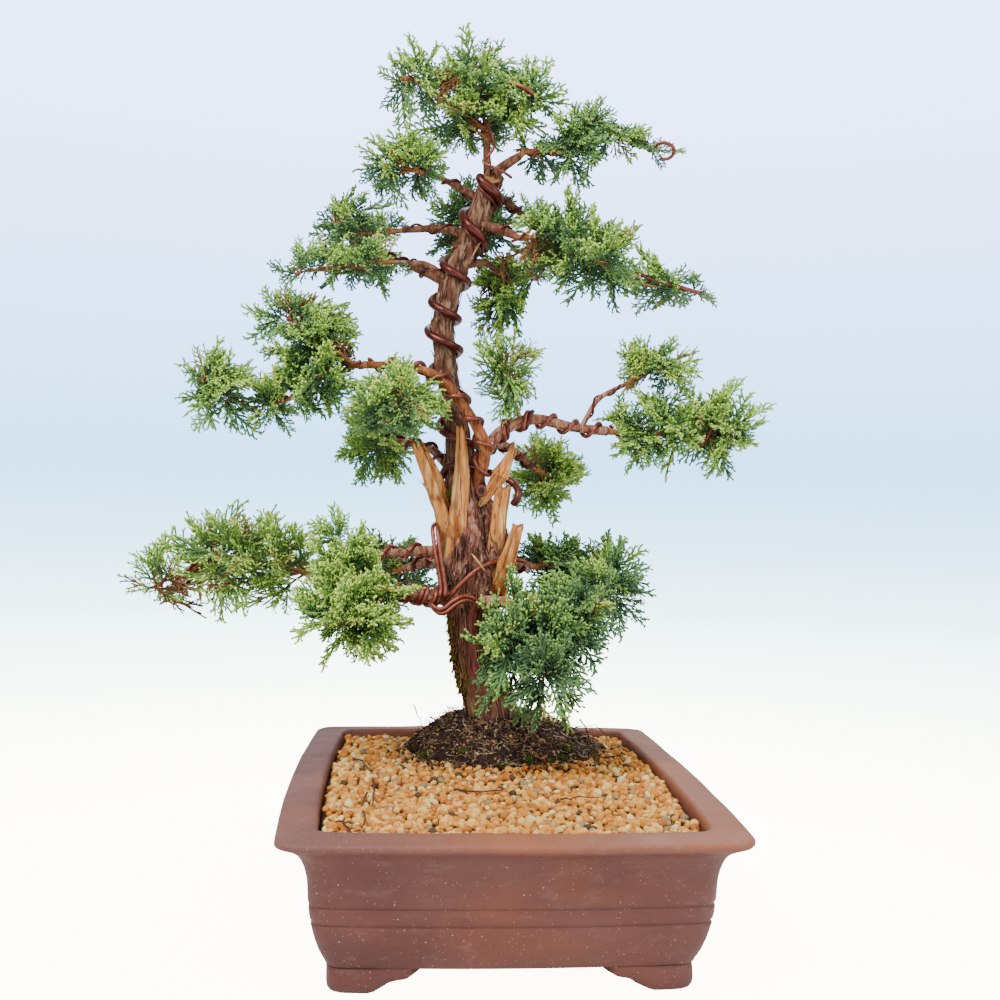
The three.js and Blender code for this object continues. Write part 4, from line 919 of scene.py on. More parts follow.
# Boughs: live limbs under thinner, redder bark, each one tapering limb from the trunk or a parent
# bough to the mass of foliage that it feeds.
BOUGHS = {
    "bough_low_left": ([(-16, 60, 196), (-42, 46, 200), (-67, 38, 204)], (11, 8.5)),
    "bough_low_right": ([(-14, 62, 196), (-6, 46, 198), (5, 35, 198)], (11, 8)),
    "bough_low_left_back": ([(-20, 68, 232), (-46, 67, 232), (-84, 74, 228), (-131, 82, 217)], (9, 5)),
    "bough_low_right_back": ([(-6, 74, 222), (16, 83, 222), (30, 92, 221)], (9, 6)),
    "bough_back_low": ([(-14, 74, 222), (-36, 106, 225), (-62, 134, 216)], (10, 6)),
    "bough_mid_left": ([(-17, 65, 273), (-9, 49, 300), (-14, 45, 319), (-38, 45, 351), (-62, 48, 362),
                        (-96, 55, 364)], (9.5, 5.5)),
    "bough_mid_left_front": ([(-58, 48, 361), (-64, 42, 356), (-67, 39, 350)], (4.4, 3.2)),
    "bough_mid_left_back": ([(-24, 74, 279), (-44, 86, 305), (-72, 104, 313)], (8, 5)),
    "bough_mid_right": ([(-9, 49.5, 303), (4, 51, 319), (26, 52, 328), (54, 53, 323), (80, 54, 321)],
                        (9.5, 6.5)),
    "bough_centre_tuft": ([(17, 52, 326), (15, 50, 331), (12, 48, 337)], (3.6, 2.8)),
    "bough_mid_right_upper": ([(60, 53, 322), (72, 50, 343), (90, 47, 354)], (4.2, 3)),
    "bough_mid_right_back": ([(-22, 74, 292), (4, 82, 311), (34, 102, 294)], (7.5, 5)),
    "bough_high_left_low": ([(-36, 72, 428), (-52, 64, 438), (-68, 59, 438)], (6, 4)),
    "bough_high_left": ([(-20, 70, 463), (-46, 74, 467), (-70, 78, 466)], (7, 4.6)),
    "bough_high_right": ([(-18, 70, 470), (-4, 62, 466), (10, 59, 461)], (8, 6)),
    "bough_high_back": ([(-18, 71, 463), (-17, 86, 470), (-16, 97, 476)], (6, 4.4)),
    "bough_hanging": ([(-29, 72, 439), (-10, 86, 446), (1, 96, 441)], (6, 4.4)),
    "bough_back_high_left": ([(-36, 73, 426), (-58, 96, 441), (-86, 118, 456)], (7, 4.6)),
    "bough_back_high_right": ([(-10, 68, 497), (12, 91, 489), (40, 116, 477)], (6.6, 4.4)),
    "bough_top_left": ([(-13, 69, 487), (-30, 63, 495), (-43, 61, 500)], (6, 4.2)),
    "bough_top_right": ([(-5, 67, 507), (6, 64, 515), (13, 62, 519)], (7.5, 5.4)),
    "leader": ([(-9, 70, 500), (-10, 67.5, 516), (-11, 66, 530)], (7, 5)),
}
BOUGH_SIDES = 40
BOUGH_RELIEF = 0.13


def along_curve(route, shares):
    """Points at shares of a smooth curve through a route"""
    route = np.asarray(route, float)
    padded = np.concatenate([[2 * route[0] - route[1]], route, [2 * route[-1] - route[-2]]])
    place = np.clip(np.asarray(shares, float), 0, 1) * (len(route) - 1)
    row = np.minimum(place.astype(int), len(route) - 2)
    part = (place - row)[:, None]
    before, start, end, after = (padded[row + step] for step in range(4))
    leave = (end - before) / 2
    arrive = (after - start) / 2
    return (start + leave * part + (3 * (end - start) - 2 * leave - arrive) * part ** 2
            + (2 * (start - end) + leave + arrive) * part ** 3)


def side_axes(ahead, side):
    """Two side axes for each direction that don't spin, from a first side"""
    sides = []
    for direction in ahead:
        side = unit(side - direction * np.dot(side, direction))
        sides.append(side)
    return np.array(sides), np.cross(ahead, np.array(sides))


def frames_along(route, shares):
    """Points of the curve with its direction and two side axes"""
    low = along_curve(route, np.asarray(shares) - 1e-4)
    high = along_curve(route, np.asarray(shares) + 1e-4)
    ahead = unit(high - low)
    side = np.array([0, 1.0, 0]) if abs(ahead[0, 0]) > 0.8 else np.array([1.0, 0, 0])
    return along_curve(route, shares), ahead, *side_axes(ahead, side)


def run_lengths(path):
    """How far along a line each of its points lies"""
    steps = np.diff(np.asarray(path, float), axis=0)
    return np.concatenate([[0], np.cumsum(np.linalg.norm(steps, axis=1))])


def spokes(side, across, sides):
    """Directions from the middle of each ring to its points"""
    angle = np.arange(sides) / sides * 2 * math.pi
    return side[:, None] * np.cos(angle)[:, None] + across[:, None] * np.sin(angle)[:, None]


bough_bark = bark_material("bough_bark", "#4a281d", "#a06549", "#c39279", "#dcb6a0")
# A darker copy of the bough bark for the high boughs, as painted shade
high_bough_bark_painted_shade = bark_material("high_bough_bark_painted_shade", "#3a2014", "#7a4a32", "#93674c", "#b08a6c")
orange_bough_bark = bark_material("orange_bough_bark", "#56260f", "#a05a33", "#b57446", "#c98f66")
HIGH_BOUGHS = ["bough_high_left_low", "bough_high_left", "bough_high_right", "bough_high_back",
               "bough_hanging", "bough_back_high_left", "bough_back_high_right", "bough_top_left",
               "bough_top_right", "leader"]
for seed, (name, (route, thick)) in enumerate(BOUGHS.items()):
    length = run_lengths(route)[-1]
    shares = np.linspace(0, 1, int(length / 1.1))
    points, ahead, side, across = frames_along(route, shares)
    radius = ((thick[0] + (thick[1] - thick[0]) * shares) / 2)[:, None]
    mat = ray(np.arange(BOUGH_SIDES) / BOUGH_SIDES * 2 * math.pi) * 5 + np.zeros((len(shares), 1, 3))
    mat[..., 2] = shares[:, None] * length
    relief = bark_relief(mat + seed * 37.0, 60 + seed, BOUGH_RELIEF * radius)
    knots = lattice_noise(points / 9, 90 + seed)[:, None] * 0.16 + 0.93
    shape = Gathered()
    shape.add(*loft(points[:, None] + spokes(side, across, BOUGH_SIDES)
                    * (radius * knots + relief)[..., None]))
    skin = high_bough_bark_painted_shade if name in HIGH_BOUGHS else bough_bark
    piece = shape.make(f"bark_of_{name}", [orange_bough_bark if name == "bough_mid_left" else skin])
    # Depth in the bough bark's furrows, which the bark darkens as painted shade
    set_furrows(piece, np.clip(-relief / (BOUGH_RELIEF * radius) - 0.2, 0, 1).ravel() * 0.8)
    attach(piece, "root")
    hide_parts(name)

# Dead wood: jins left where big branches were torn off. The wood is bare, honey-coloured and dry,
# split along its grain, with jagged broken ends and loose splinters.
DEAD_WOOD = {
    "jin_left": [
        ((14, 7.6), (11, 4), [(-29, 62, 232), (-39, 55, 263), (-48.4, 54, 286), (-58.8, 54, 311)]),
        ((7.5, 4), (6, 3), [(-33.5, 59, 261), (-38.6, 55.5, 279.6), (-45.4, 54.5, 293.7), (-53.2, 56, 307)]),
        ((7, 1.6), (6, 1.6), [(-40, 55, 268), (-52, 51, 280)]),
    ],
    "jin_centre": [((18, 7), (9, 4.5), [(-23, 60, 231), (-26.5, 49, 256), (-25, 48, 290), (-26, 50, 320)])],
    "jin_right_splinter": [
        ((4, 13), (3, 3.5), [(-11, 56.5, 265), (-7, 55, 270.8), (-1.3, 53, 280.9), (4.6, 52, 290)]),
        ((13, 2.6), (3.5, 2.6), [(2.6, 52.2, 286.8), (8.2, 52, 298.1), (11.5, 53, 308.3)]),
    ],
    "jin_right_wide": [((16, 11), (12, 6), [(-1.5, 63, 215), (1.5, 53, 247), (6, 54, 280)])],
    "jin_stub": [((18.5, 9.5), (14, 8), [(0, 64, 197), (7, 48, 221), (15, 38, 252)])],
}
PLANK_CORNERS = np.array([(1, 0.3), (0.55, 1), (-0.5, 0.85), (-1, 0.2), (-0.7, -0.9), (0.6, -1)])
PLANK_SIDES = 48
PLANK_ROWS = 90
PLANK_JAGS = {"jin_left": 0.8, "jin_centre": 0.35, "jin_right_splinter": 0.2, "jin_right_wide": 0.5,
              "jin_stub": 0.25}
JAG_DEPTH = 22
END_SPLINTERS = 7
SIDE_SPLINTERS = 9


def plank_section():
    """The plank's outline, its corners eased, as shares of half width and half thickness"""
    shares = np.arange(PLANK_SIDES) / PLANK_SIDES * 6
    row = shares.astype(int)
    part = (shares - row)[:, None]
    part = part * part * (3 - 2 * part) * 0.35 + part * 0.65
    return PLANK_CORNERS[row % 6] * (1 - part) + PLANK_CORNERS[(row + 1) % 6] * part


for seed, (name, planks) in enumerate(DEAD_WOOD.items()):
    shape = Gathered()
    depths = []
    for order, (wide, thick, route) in enumerate(planks):
        length = run_lengths(route)[-1]
        shares = np.linspace(0, 1, PLANK_ROWS)[:, None]
        section = plank_section()
        jag = lattice_noise(np.insert(section * 2.2, 2, seed * 3.1 + order, axis=1), 5) - 0.55
        jag = jag + 0.55 * (lattice_noise(np.insert(section * 5.5, 2, seed * 1.7, axis=1), 6) - 0.5)
        jag = jag * PLANK_JAGS[name]
        reach = shares + jag * np.clip((shares - 0.72) / 0.28, 0, 1) ** 1.5 * JAG_DEPTH / length
        points, ahead, side, across = frames_along(route, np.linspace(0, 1, 200))
        row = (np.clip(reach, 0, 1) * 199).astype(int)
        beyond = np.maximum(reach - 1, 0)[..., None] * length
        half_wide = (wide[0] + (wide[1] - wide[0]) * np.clip(reach, 0, 1.05)) / 2
        half_thick = (thick[0] + (thick[1] - thick[0]) * np.clip(reach, 0, 1.05)) / 2
        flat = np.stack([section[:, 0] * half_wide, section[:, 1] * half_thick, reach * length], axis=-1)
        ridge = lattice_noise(flat / [1.7, 1.7, 34] + seed * 11 + order * 5, 7) - 0.5
        ridge = ridge + 0.6 * (lattice_noise(flat / [0.8, 0.8, 18] + seed * 7, 8) - 0.5)
        split = np.exp(-((lattice_noise(flat / [2.6, 2.6, 60] + seed * 5 + order * 3, 9) - 0.5) / 0.07) ** 2)
        shrink = 1 + (ridge * 1.2 - split * 1.2) / np.maximum(half_wide, 2.5)
        ring = (points[row] + ahead[row] * beyond
                + side[row] * (section[:, 0] * half_wide * shrink)[..., None]
                + across[row] * (section[:, 1] * half_thick * shrink)[..., None])
        shape.add(*loft(ring))
        # Depth in the splits, which the bare wood darkens as painted shade
        depths += [np.clip(split * 0.9 - ridge * 0.5, 0, 1).ravel(), np.zeros(2)]
    random = np.random.default_rng(200 + seed)
    for wide, thick, route in planks[:2]:
        count = END_SPLINTERS + SIDE_SPLINTERS
        points, ahead, side, across = frames_along(route, np.linspace(0, 1, 60))
        row = np.concatenate([random.integers(52, 60, END_SPLINTERS),
                              random.integers(12, 52, SIDE_SPLINTERS)])
        turn = random.uniform(0, 2 * math.pi, count)
        out_wide = np.cos(turn) * (np.interp(row, [0, 59], wide) / 2 * 0.85)
        out_thick = np.sin(turn) * (np.interp(row, [0, 59], thick) / 2 * 0.85)
        foot = points[row] + side[row] * out_wide[:, None] + across[row] * out_thick[:, None]
        grow = ahead[row] + random.normal(0, 0.13, (count, 3))
        long = np.where(row > 51, random.uniform(2, 5, count), random.uniform(5, 16, count))[:, None]
        paths = np.stack([foot - ahead[row] * 2, foot + grow * long * 0.5, foot + grow * long], axis=1)
        spikes = random.uniform(0.35, 0.9, (count, 1)) * np.array([1, 0.7, 0])
        made, blocks = strands(paths, spikes, 4, 0.5)
        shape.add(made, blocks)
        depths.append(np.zeros(len(made)))
    piece = shape.make(f"bare_{name}", [dead_wood])
    set_furrows(piece, np.concatenate(depths))
    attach(piece, "root")
    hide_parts(name)

# Training wire: brown anodised aluminium, wound by hand at a slant. One thick wire climbs the trunk
# from a hook among the jins, and thinner ones, often in pairs, hold the boughs.
TRUNK_WIRE = 5.4
TRUNK_WIRE_SIDES = [308, 322, 342, 362, 378, 392, 400, 414, 427, 442, 454, 478, 486, 508]
TRUNK_WIRE_SLANT = 2.4
TRUNK_WIRE_HOOK = [(11.3, 49, 266.3), (14.8, 46, 270.6), (15.8, 48, 276), (12.6, 54, 281.8), (6, 57, 286),
                   (-3, 60, 289), (-12, 61.3, 290.3), (-20.6, 54.8, 291.5), (-29, 55.5, 294),
                   (-34.5, 60, 293), (-38, 68, 287), (-36.5, 78, 287), (-28, 85.5, 292), (-16, 83.5, 300),
                   (-10.5, 77, 305.5)]
LOOSE_RUNS = {
    "wire_down_front": (1.5, [(-33, 80, 252), (-37.5, 72, 253), (-42, 62, 252), (-44.5, 54, 249),
                              (-43.8, 49, 240), (-42.2, 45, 229), (-40, 42, 217), (-38.5, 39, 207),
                              (-39, 37, 201)]),
    "wire_down_front_pair": (1.5, [(-30, 82, 254), (-35, 73, 255.5), (-39.5, 62, 254), (-41.1, 53, 249),
                                   (-40.3, 48, 240), (-38.9, 44, 229), (-36.8, 41, 217), (-35.2, 38, 207),
                                   (-35.6, 36, 201)]),
    "wire_across_low": (1.6, [(-48, 52, 200), (-46.5, 42, 198), (-44.3, 36, 195.5), (-40.8, 33, 193.2),
                              (-36, 31, 193.6), (-30.6, 31, 198), (-25, 32, 201.4), (-20.1, 33, 202.2),
                              (-15.1, 34, 200.1), (-10, 37, 196)]),
    "wire_across_low_pair": (1.6, [(-46, 53, 196), (-44.5, 42, 194.6), (-42.3, 36, 192),
                                   (-38.8, 32.6, 190), (-34.6, 31, 190.9), (-29.4, 31, 195),
                                   (-24, 32, 198.4), (-19.4, 33, 199), (-14.6, 34.6, 197)]),
    "wire_across_high": (1.7, [(-36, 50, 196), (-31.7, 40, 201.6), (-27.6, 38, 206.7), (-21.5, 37, 213.1),
                               (-15.3, 37, 218.8), (-8.9, 38.5, 223), (-3.4, 42, 225.4), (4, 52, 226.4),
                               (12, 56, 227), (20, 55, 226.3), (25.5, 62, 222.6), (26, 74, 217)]),
    "wire_apex_hook": (1.7, [(-17, 62, 566), (-5.8, 56, 568.5), (1.1, 50, 568.2), (9.3, 46, 565),
                             (16.9, 44, 560.7), (23.1, 48, 557.1), (25.4, 56, 554.3), (22, 64, 553)]),
    "wire_leader": (1.1, [(-14, 62, 548), (-12, 58, 541), (-8.1, 57, 533), (-6, 58, 524),
                          (-9.7, 58, 517.6), (-13.5, 60, 513.5), (-8.1, 57, 509.7), (1, 57.5, 506),
                          (8, 62, 503)]),
    "wire_tip_loop": (1.3, [(108, 60, 528), (112.1, 58, 530.3), (117.3, 55, 531.3), (122.8, 54, 529.4),
                            (125.3, 56, 525.3), (122.3, 60, 521.7), (115.3, 62, 521.3)]),
    "wire_right_hook": (1.6, [(141, 54, 314), (148, 50, 313), (151.4, 48, 317.1), (153.6, 46, 323.1),
                              (158.7, 46, 328.5), (164.2, 50, 328), (164.1, 54, 323.4)]),
    "wire_tail_left": (1.1,
                       [(-84, 58, 427), (-94, 56, 431), (-104, 52, 433), (-116, 50, 433), (-128, 50, 430)]),
    "wire_tail_right": (1.5, [(88, 52, 437.6), (96, 50, 436), (104.5, 48, 432.6), (115, 47.5, 429),
                              (129, 48, 425.8), (144.5, 48.5, 421.9)]),
}


def tube(path, radius, sides=14):
    """A round wire through points, with its two ends rounded off"""
    lengths = run_lengths(path)
    ahead = unit(np.gradient(path, axis=0))
    side, across = side_axes(ahead, unit(np.cross(ahead[0], [0.31, 0.17, 0.93])))
    near_end = np.minimum(lengths, lengths[-1] - lengths)
    reach = radius * np.sqrt(np.clip(1 - (1 - np.clip(near_end / radius, 0.0, 1)) ** 2, 0.02, 1))
    return loft(path[:, None] + spokes(side, across, sides) * reach[:, None, None])


def evenly(path, step):
    """The same line with points a set step apart, closer at its two ends"""
    lengths = run_lengths(path)
    inner = np.linspace(step, lengths[-1] - step, max(3, int(lengths[-1] / step)))
    ends = np.array([0, 0.12, 0.35, 0.65]) * step
    places = np.concatenate([ends, inner, lengths[-1] - ends[::-1]])
    return np.column_stack([np.interp(places, lengths, path[:, axis]) for axis in range(3)])


def winding(route, thick, start, end, pitch, gauge, phase=0.0, beside=0.0):
    """A wire wound round a bough; beside shifts it along, so that two can lie side by side"""
    points, ahead, side, across = frames_along(route, np.linspace(0, 1, 500))
    run = run_lengths(points)
    length = run[-1] * (end - start)
    turns = np.linspace(0, length / pitch, int(length / pitch * 26))
    place = start * run[-1] + beside + turns * pitch
    row = np.clip(np.searchsorted(run, place), 0, len(run) - 1)
    angle = (phase - turns * 2 * math.pi)[:, None]
    bark_out = (thick[0] + (thick[1] - thick[0]) * row / (len(run) - 1)) / 2
    reach = (bark_out * 1.02 + gauge / 2 + 0.1)[:, None]
    return points[row] + (side[row] * np.cos(angle) + across[row] * np.sin(angle)) * reach


def wire_material(name, dark, light):
    material, tree, shader = new_material(name, 0.3, 0.6)
    scuffs = patches(tree, (240, 240, 240), 0.4, 0.75, 5, 0.7)
    tree.links.new(mixed(tree, scuffs, linear(dark), linear(light)), shader.inputs["Base Color"])
    tree.links.new(patches(tree, (500, 500, 500), -0.5, 2.4, 4), shader.inputs["Roughness"])
    shader.inputs["Metallic"].default_value = 0.55
    set_bump(tree, shader, noise(tree, (600, 600, 600), 4), 0.12, 0.0004)
    return material


thick_wire_metal = wire_material("thick_brown_wire", "#4c1911", "#6e2b20")
wire_metal = wire_material("thin_brown_wire", "#733427", "#a35a42")

half_turns = len(TRUNK_WIRE_SIDES) - 1


def wire_heights(turns):
    """Heights of the trunk's wire, counted in half turns from its foot"""
    sides = np.interp(turns, np.arange(half_turns + 1), TRUNK_WIRE_SIDES)
    return sides - TRUNK_WIRE_SLANT * np.sin(turns * math.pi)


turns = np.linspace(0, half_turns, half_turns * 16 + 1)
heights = wire_heights(turns)
heart, radius = trunk_at(heights)
bark_out = radius * (fluting(-turns * math.pi, heights) + 0.04) + 0.3 + TRUNK_WIRE / 2
climb = heart + ray(-turns * math.pi) * bark_out[:, None]
hook = along_curve(np.array(TRUNK_WIRE_HOOK + [tuple(climb[0]), tuple(climb[4])]), np.linspace(0, 1, 150))
trunk_wire_path = np.concatenate([hook[:140], climb[1:]])
trunk_wire_path = evenly(along_curve(trunk_wire_path[::3], np.linspace(0, 1, 900)), 1.6)


def make_wire(name, tubes, node=None, metal=wire_metal):
    shape = Gathered()
    for path, radius in tubes:
        shape.add(*tube(evenly(path, 1.1) if np.max(radius) < 2 else path, radius))
    piece = shape.make(name, [metal])
    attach(piece, "root")
    if node:
        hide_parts(node)


trunk_wire_radius = np.interp(trunk_wire_path[:, 2], [280, 400, 500], [2.7, 2.95, 3.4])
make_wire("trunk_wire", [(trunk_wire_path, trunk_wire_radius)], "wire_trunk", thick_wire_metal)
turns = np.linspace(9.15, 12.7, 90)
heart, radius = trunk_at(wire_heights(turns) - 5)
beside_path = heart + ray(-turns * math.pi) * (radius * 1.06 + 1.5)[:, None]
make_wire("thin_wire_beside", [(beside_path, 1.25)], None, thick_wire_metal)
WINDINGS = {
    "wire_low_left": ("bough_low_left", 0.42, 0.98, 10, 3.2, 0.4, (0, 3.3)),
    "wire_low_left_back": ("bough_low_left_back", 0.14, 0.97, 19, 3.1, -1.4, (0,)),
    "wire_mid_left": ("bough_mid_left", 0.12, 0.98, 19, 3.2, 0.2, (0,)),
    "wire_mid_right": ("bough_mid_right", 0.1, 0.98, 17, 3.1, 2.4, (0,)),
}
for node, (bough, start, end, pitch, gauge, phase, besides) in WINDINGS.items():
    route, thick = BOUGHS[bough]
    tubes = [(winding(route, thick, start, end, pitch, gauge, phase, beside), gauge / 2)
             for beside in besides]
    make_wire(f"brown_{node}", tubes, node)
FINE_WINDINGS = [
    ("bough_mid_right", 0.1, 0.42, 17, 3.1, 2.4, 3.2), ("bough_low_right_back", 0.3, 0.98, 13, 3, 0, 0),
    ("bough_mid_left_back", 0.3, 0.98, 14, 2.8, 1, 0), ("bough_mid_right_back", 0.3, 0.98, 13, 2.8, 2, 0),
    ("bough_high_left", 0.2, 0.98, 24, 1.7, 0, 0), ("bough_high_left_low", 0.2, 0.98, 22, 1.5, 1, 0),
    ("bough_high_right", 0.35, 0.98, 18, 2, 0.5, 0), ("bough_top_left", 0.3, 0.98, 22, 2.2, 2, 0),
    ("bough_mid_right_upper", 0.2, 0.95, 22, 1.4, 1, 0), ("bough_back_low", 0.3, 0.97, 16, 3, 1, 0),
    ("bough_back_high_left", 0.25, 0.97, 14, 2.4, 1, 0), ("bough_back_high_right", 0.25, 0.97, 14, 2.4, 2, 0),
]
fine_tubes = [(winding(*BOUGHS[bough], start, end, pitch, gauge, phase, beside), gauge / 2)
              for bough, start, end, pitch, gauge, phase, beside in FINE_WINDINGS]
make_wire("fine_wires", fine_tubes, None, thick_wire_metal)
for name, (radius, points) in LOOSE_RUNS.items():
    make_wire(name, [(along_curve(points, np.linspace(0, 1, 120)), radius)])

# Litter: dead twigs and thin roots that lie on the grit or stand out of the mound and the trunk, and a
# cut curl of thin copper wire in front of the trunk's foot.
LYING_TWIGS = [
    [(-82.2, -11.3), (-80.3, -35.7), (-80.2, -61.1), (-81.1, -94.2)],
    [(-62.8, -11.1), (-64.6, -35.6), (-67.4, -61.1)],
    [(-83.9, -53.8), (-86.6, -80.5), (-83.3, -111.9), (-85.3, -132.7), (-90.6, -145.3)],
    [(-90.6, -145.3), (-95.3, -122.4), (-101.7, -122.4), (-104.3, -111.8)],
    [(-97.9, 52.3), (-91.5, 42.6), (-84.9, 21.1)], [(92.6, 83.4), (103.2, 101.9), (116.3, 124.9)],
    [(76.1, 48.7), (92.5, 59.1), (95.5, 29.8), (91.5, -12.2)], [(-30, -40), (-12, -46), (4, -43)],
    [(34, -70), (47, -62), (62, -66)], [(-53.3, 63.2), (-48.1, 43.3), (-40.9, 34.1), (-30.8, 18.7)],
]
STANDING_TWIGS = [
    [(-55.4, 60, 121.8), (-52.5, 60, 115.1), (-48.3, 60, 106.9), (-46, 62, 98)],
    [(-43.5, 66, 112.6), (-40, 66, 110.6), (-36, 66, 104)],
    [(69.4, 90, 107.1), (73.1, 90, 101.3), (75.4, 90, 96.3), (77, 90, 88)],
    [(62.5, 86, 100.6), (69.6, 86, 102.3), (79.7, 86, 102.8), (87, 86, 96.7), (92.3, 86, 86.5)],
    [(-3.3, 62, 449), (4.1, 60, 435.8), (9.4, 60, 423)], [(-70, 40, 238), (-62, 40, 233), (-56, 42, 226)],
    [(-24, 58, 418), (-19, 57, 410), (-17, 56, 400)], [(20, 66, 441), (24, 62, 432), (23, 60, 424)],
]
COPPER_CURL = [(27.9, 30, 95.2), (32, 26, 91), (36.2, 28, 91.4), (38, 33, 92), (36, 34, 88),
               (38, 27, 85.5), (40.3, 26, 84.6), (46, 24, 86.4)]
lying = [np.column_stack([points, soil_height(points) + 2.4]) for points in map(np.array, LYING_TWIGS)]
litter_paths = [along_curve(points, np.linspace(0, 1, 9)) for points in lying + STANDING_TWIGS]
random = np.random.default_rng(71)
litter_paths = np.array(litter_paths) + random.normal(0, 0.45, (len(litter_paths), 9, 3))
litter_thick = random.uniform(0.45, 0.8, (len(litter_paths), 1)) * np.linspace(1, 0.5, 9)
litter_shape = Gathered()
litter_shape.add(*strands(litter_paths, litter_thick, 6))
dead_twig = fibrous("dead_twig", "#2f1d15", "#6b4231", 200, (0.85, 0.2), ends=(0, 1))
litter = litter_shape.make("dead_twigs", [dead_twig])
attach(litter, "root")
copper, tree, shader = new_material("copper_offcut", 0.35, 0.5)
shader.inputs["Metallic"].default_value = 0.8
dull = noise(tree, (400, 400, 400), 4)
tree.links.new(mixed(tree, dull, linear("#7d3c22"), linear("#b06a45")), shader.inputs["Base Color"])
curl_shape = Gathered()
curl_shape.add(*tube(evenly(along_curve(COPPER_CURL, np.linspace(0, 1, 90)), 0.8), 0.6, 10))
curl = curl_shape.make("copper_curl", [copper])
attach(curl, "root")

# Foliage: scale-leaf juniper shoots. Stems run on from each bough's tip into the lobes of its mass,
# side twigs leave them, and flat sprays of green cords, paler at the tips, fill the lobe's skin. Sprays
# high and far out in a lobe are dealt paler tints and those deep inside darker ones, as painted light and
# shade.
# Each mass: its bough, a brightness for its tints, which is painted light and shade, and its lobes as middle
# and half sizes
MASSES = {
    "mass_apex": ("leader", 2.8, [(-23, 70, 546, 41, 38, 17), (-21, 66, 573, 33, 44, 33),
                                  (-66, 62, 572, 26, 28, 23), (21, 64, 561, 24, 30, 26)]),
    "mass_top_left": ("bough_top_left", 2, [(-71, 60, 506, 31, 30, 22)]),
    "mass_top_right": ("bough_top_right", 2,
                       [(46, 60, 524, 36, 32, 23), (64, 60, 544, 17, 20, 20), (105, 60, 529, 31, 16, 12)]),
    "mass_high_left_low": ("bough_high_left_low", 2,
                           [(-96, 56, 436, 27, 30, 20), (-133, 52, 429, 27, 26, 19)]),
    "mass_high_left": ("bough_high_left", 2, [(-106, 80, 470, 34, 36, 22)]),
    "mass_high_right": ("bough_high_right", 2.3,
                        [(37, 58, 463, 27, 36, 29), (73, 56, 442, 33, 34, 31), (122, 52, 426, 38, 18, 14)]),
    "mass_high_back": ("bough_high_back", 1, [(-16, 131, 485, 37, 34, 31)]),
    "mass_hanging": ("bough_hanging", 3.2,
                     [(6, 120, 422, 19, 34, 30), (26, 118, 445, 17, 24, 11), (-1, 120, 448, 12, 18, 12)]),
    "mass_back_high_left": ("bough_back_high_left", 1, [(-112, 148, 467, 33, 40, 27)]),
    "mass_back_high_right": ("bough_back_high_right", 1, [(67, 148, 471, 36, 42, 30)]),
    "mass_mid_left_front": ("bough_mid_left_front", 2.2, [(-73, 31, 334, 31, 30, 29)]),
    "mass_mid_left": ("bough_mid_left", 2.7, [(-137, 60, 389, 37, 40, 29), (-133, 60, 350, 31, 34, 20),
                                              (-162, 64, 336, 20, 26, 22), (-201, 60, 346, 24, 28, 30)]),
    "mass_mid_left_back": ("bough_mid_left_back", 3, [(-87, 140, 315, 28, 48, 33)]),
    "mass_centre_tuft": ("bough_centre_tuft", 3, [(5, 42, 358, 25, 30, 30)]),
    "mass_mid_right": ("bough_mid_right", 3, [(115, 54, 321, 36, 38, 31), (167, 50, 324, 28, 32, 34)]),
    "mass_mid_right_upper": ("bough_mid_right_upper", 3, [(115, 44, 368, 28, 26, 22)]),
    "mass_mid_right_back": ("bough_mid_right_back", 4.2, [(46, 146, 288, 28, 50, 34)]),
    "mass_low_left_front": ("bough_low_left", 3.8,
                            [(-100, 18, 189, 44, 40, 34), (-107, 32, 225, 24, 28, 31)]),
    "mass_low_left_back": ("bough_low_left_back", 4.2,
                           [(-183, 84, 222, 49, 42, 40), (-235, 84, 207, 27, 24, 22)]),
    "mass_low_right_front": ("bough_low_right", 1.2, [(25, 4, 167, 44, 44, 50), (62, 14, 201, 26, 30, 24)]),
    "mass_low_right_back": ("bough_low_right_back", 1,
                            [(49, 116, 223, 26, 34, 21), (92, 122, 204, 40, 48, 38)]),
    "mass_back_low": ("bough_back_low", 1, [(-90, 178, 208, 46, 46, 34)]),
}
GOLDEN_ANGLE = 2.399963
STEM_REACH = 0.5
STEM_POINTS = 14
TWIG_POINTS = 7
SHELL_PER_TWIG = 1050
SPRAY_LENGTH = 30
SPRAY_KINDS = 8
USUAL_FAN = 6
HIDDEN_FAN = 4
LOOSE_MASSES = ["mass_low_left_back", "mass_centre_tuft"]
HIDDEN_MASSES = ["mass_high_back", "mass_back_high_left", "mass_back_high_right", "mass_back_low"]
STEM_WIRES = {
    "mass_low_left_back": 3, "mass_low_left_front": 2.8, "mass_mid_left": 2.6, "mass_mid_right": 2.6,
    "mass_high_right": 2, "mass_top_right": 2, "mass_low_right_front": 2.4, "mass_apex": 1.9,
}
FANS = {
    "mass_low_right_front": 9, "mass_low_left_front": 9, "mass_low_left_back": 7, "mass_mid_left_front": 8,
    "mass_apex": 3, "mass_top_left": 5, "mass_top_right": 4, "mass_high_left": 2, "mass_high_left_low": 3,
    "mass_high_right": 4, "mass_mid_left": 5, "mass_mid_right": 5, "mass_low_right_back": 5,
    "mass_centre_tuft": 8, "mass_hanging": 5,
}
SPRAY_GROWTH = {"mass_centre_tuft": 1.25, "mass_low_left_back": 1.1}
BROWN_SHOOTS = {
    ("mass_low_left_back", 1): (-2, 0.1, 0.55), ("mass_hanging", 2): (-2, 0.6, 0.6),
    ("mass_high_right", 0): (-2, -0.45, 0.4),
}
LEAF_TINTS = ["#4b684d", "#5f8256", "#749c5d", "#90b754", "#b0d45e", "#d2ef6e", "#e8fb7c", "#a39a5a",
              "#96643e"]
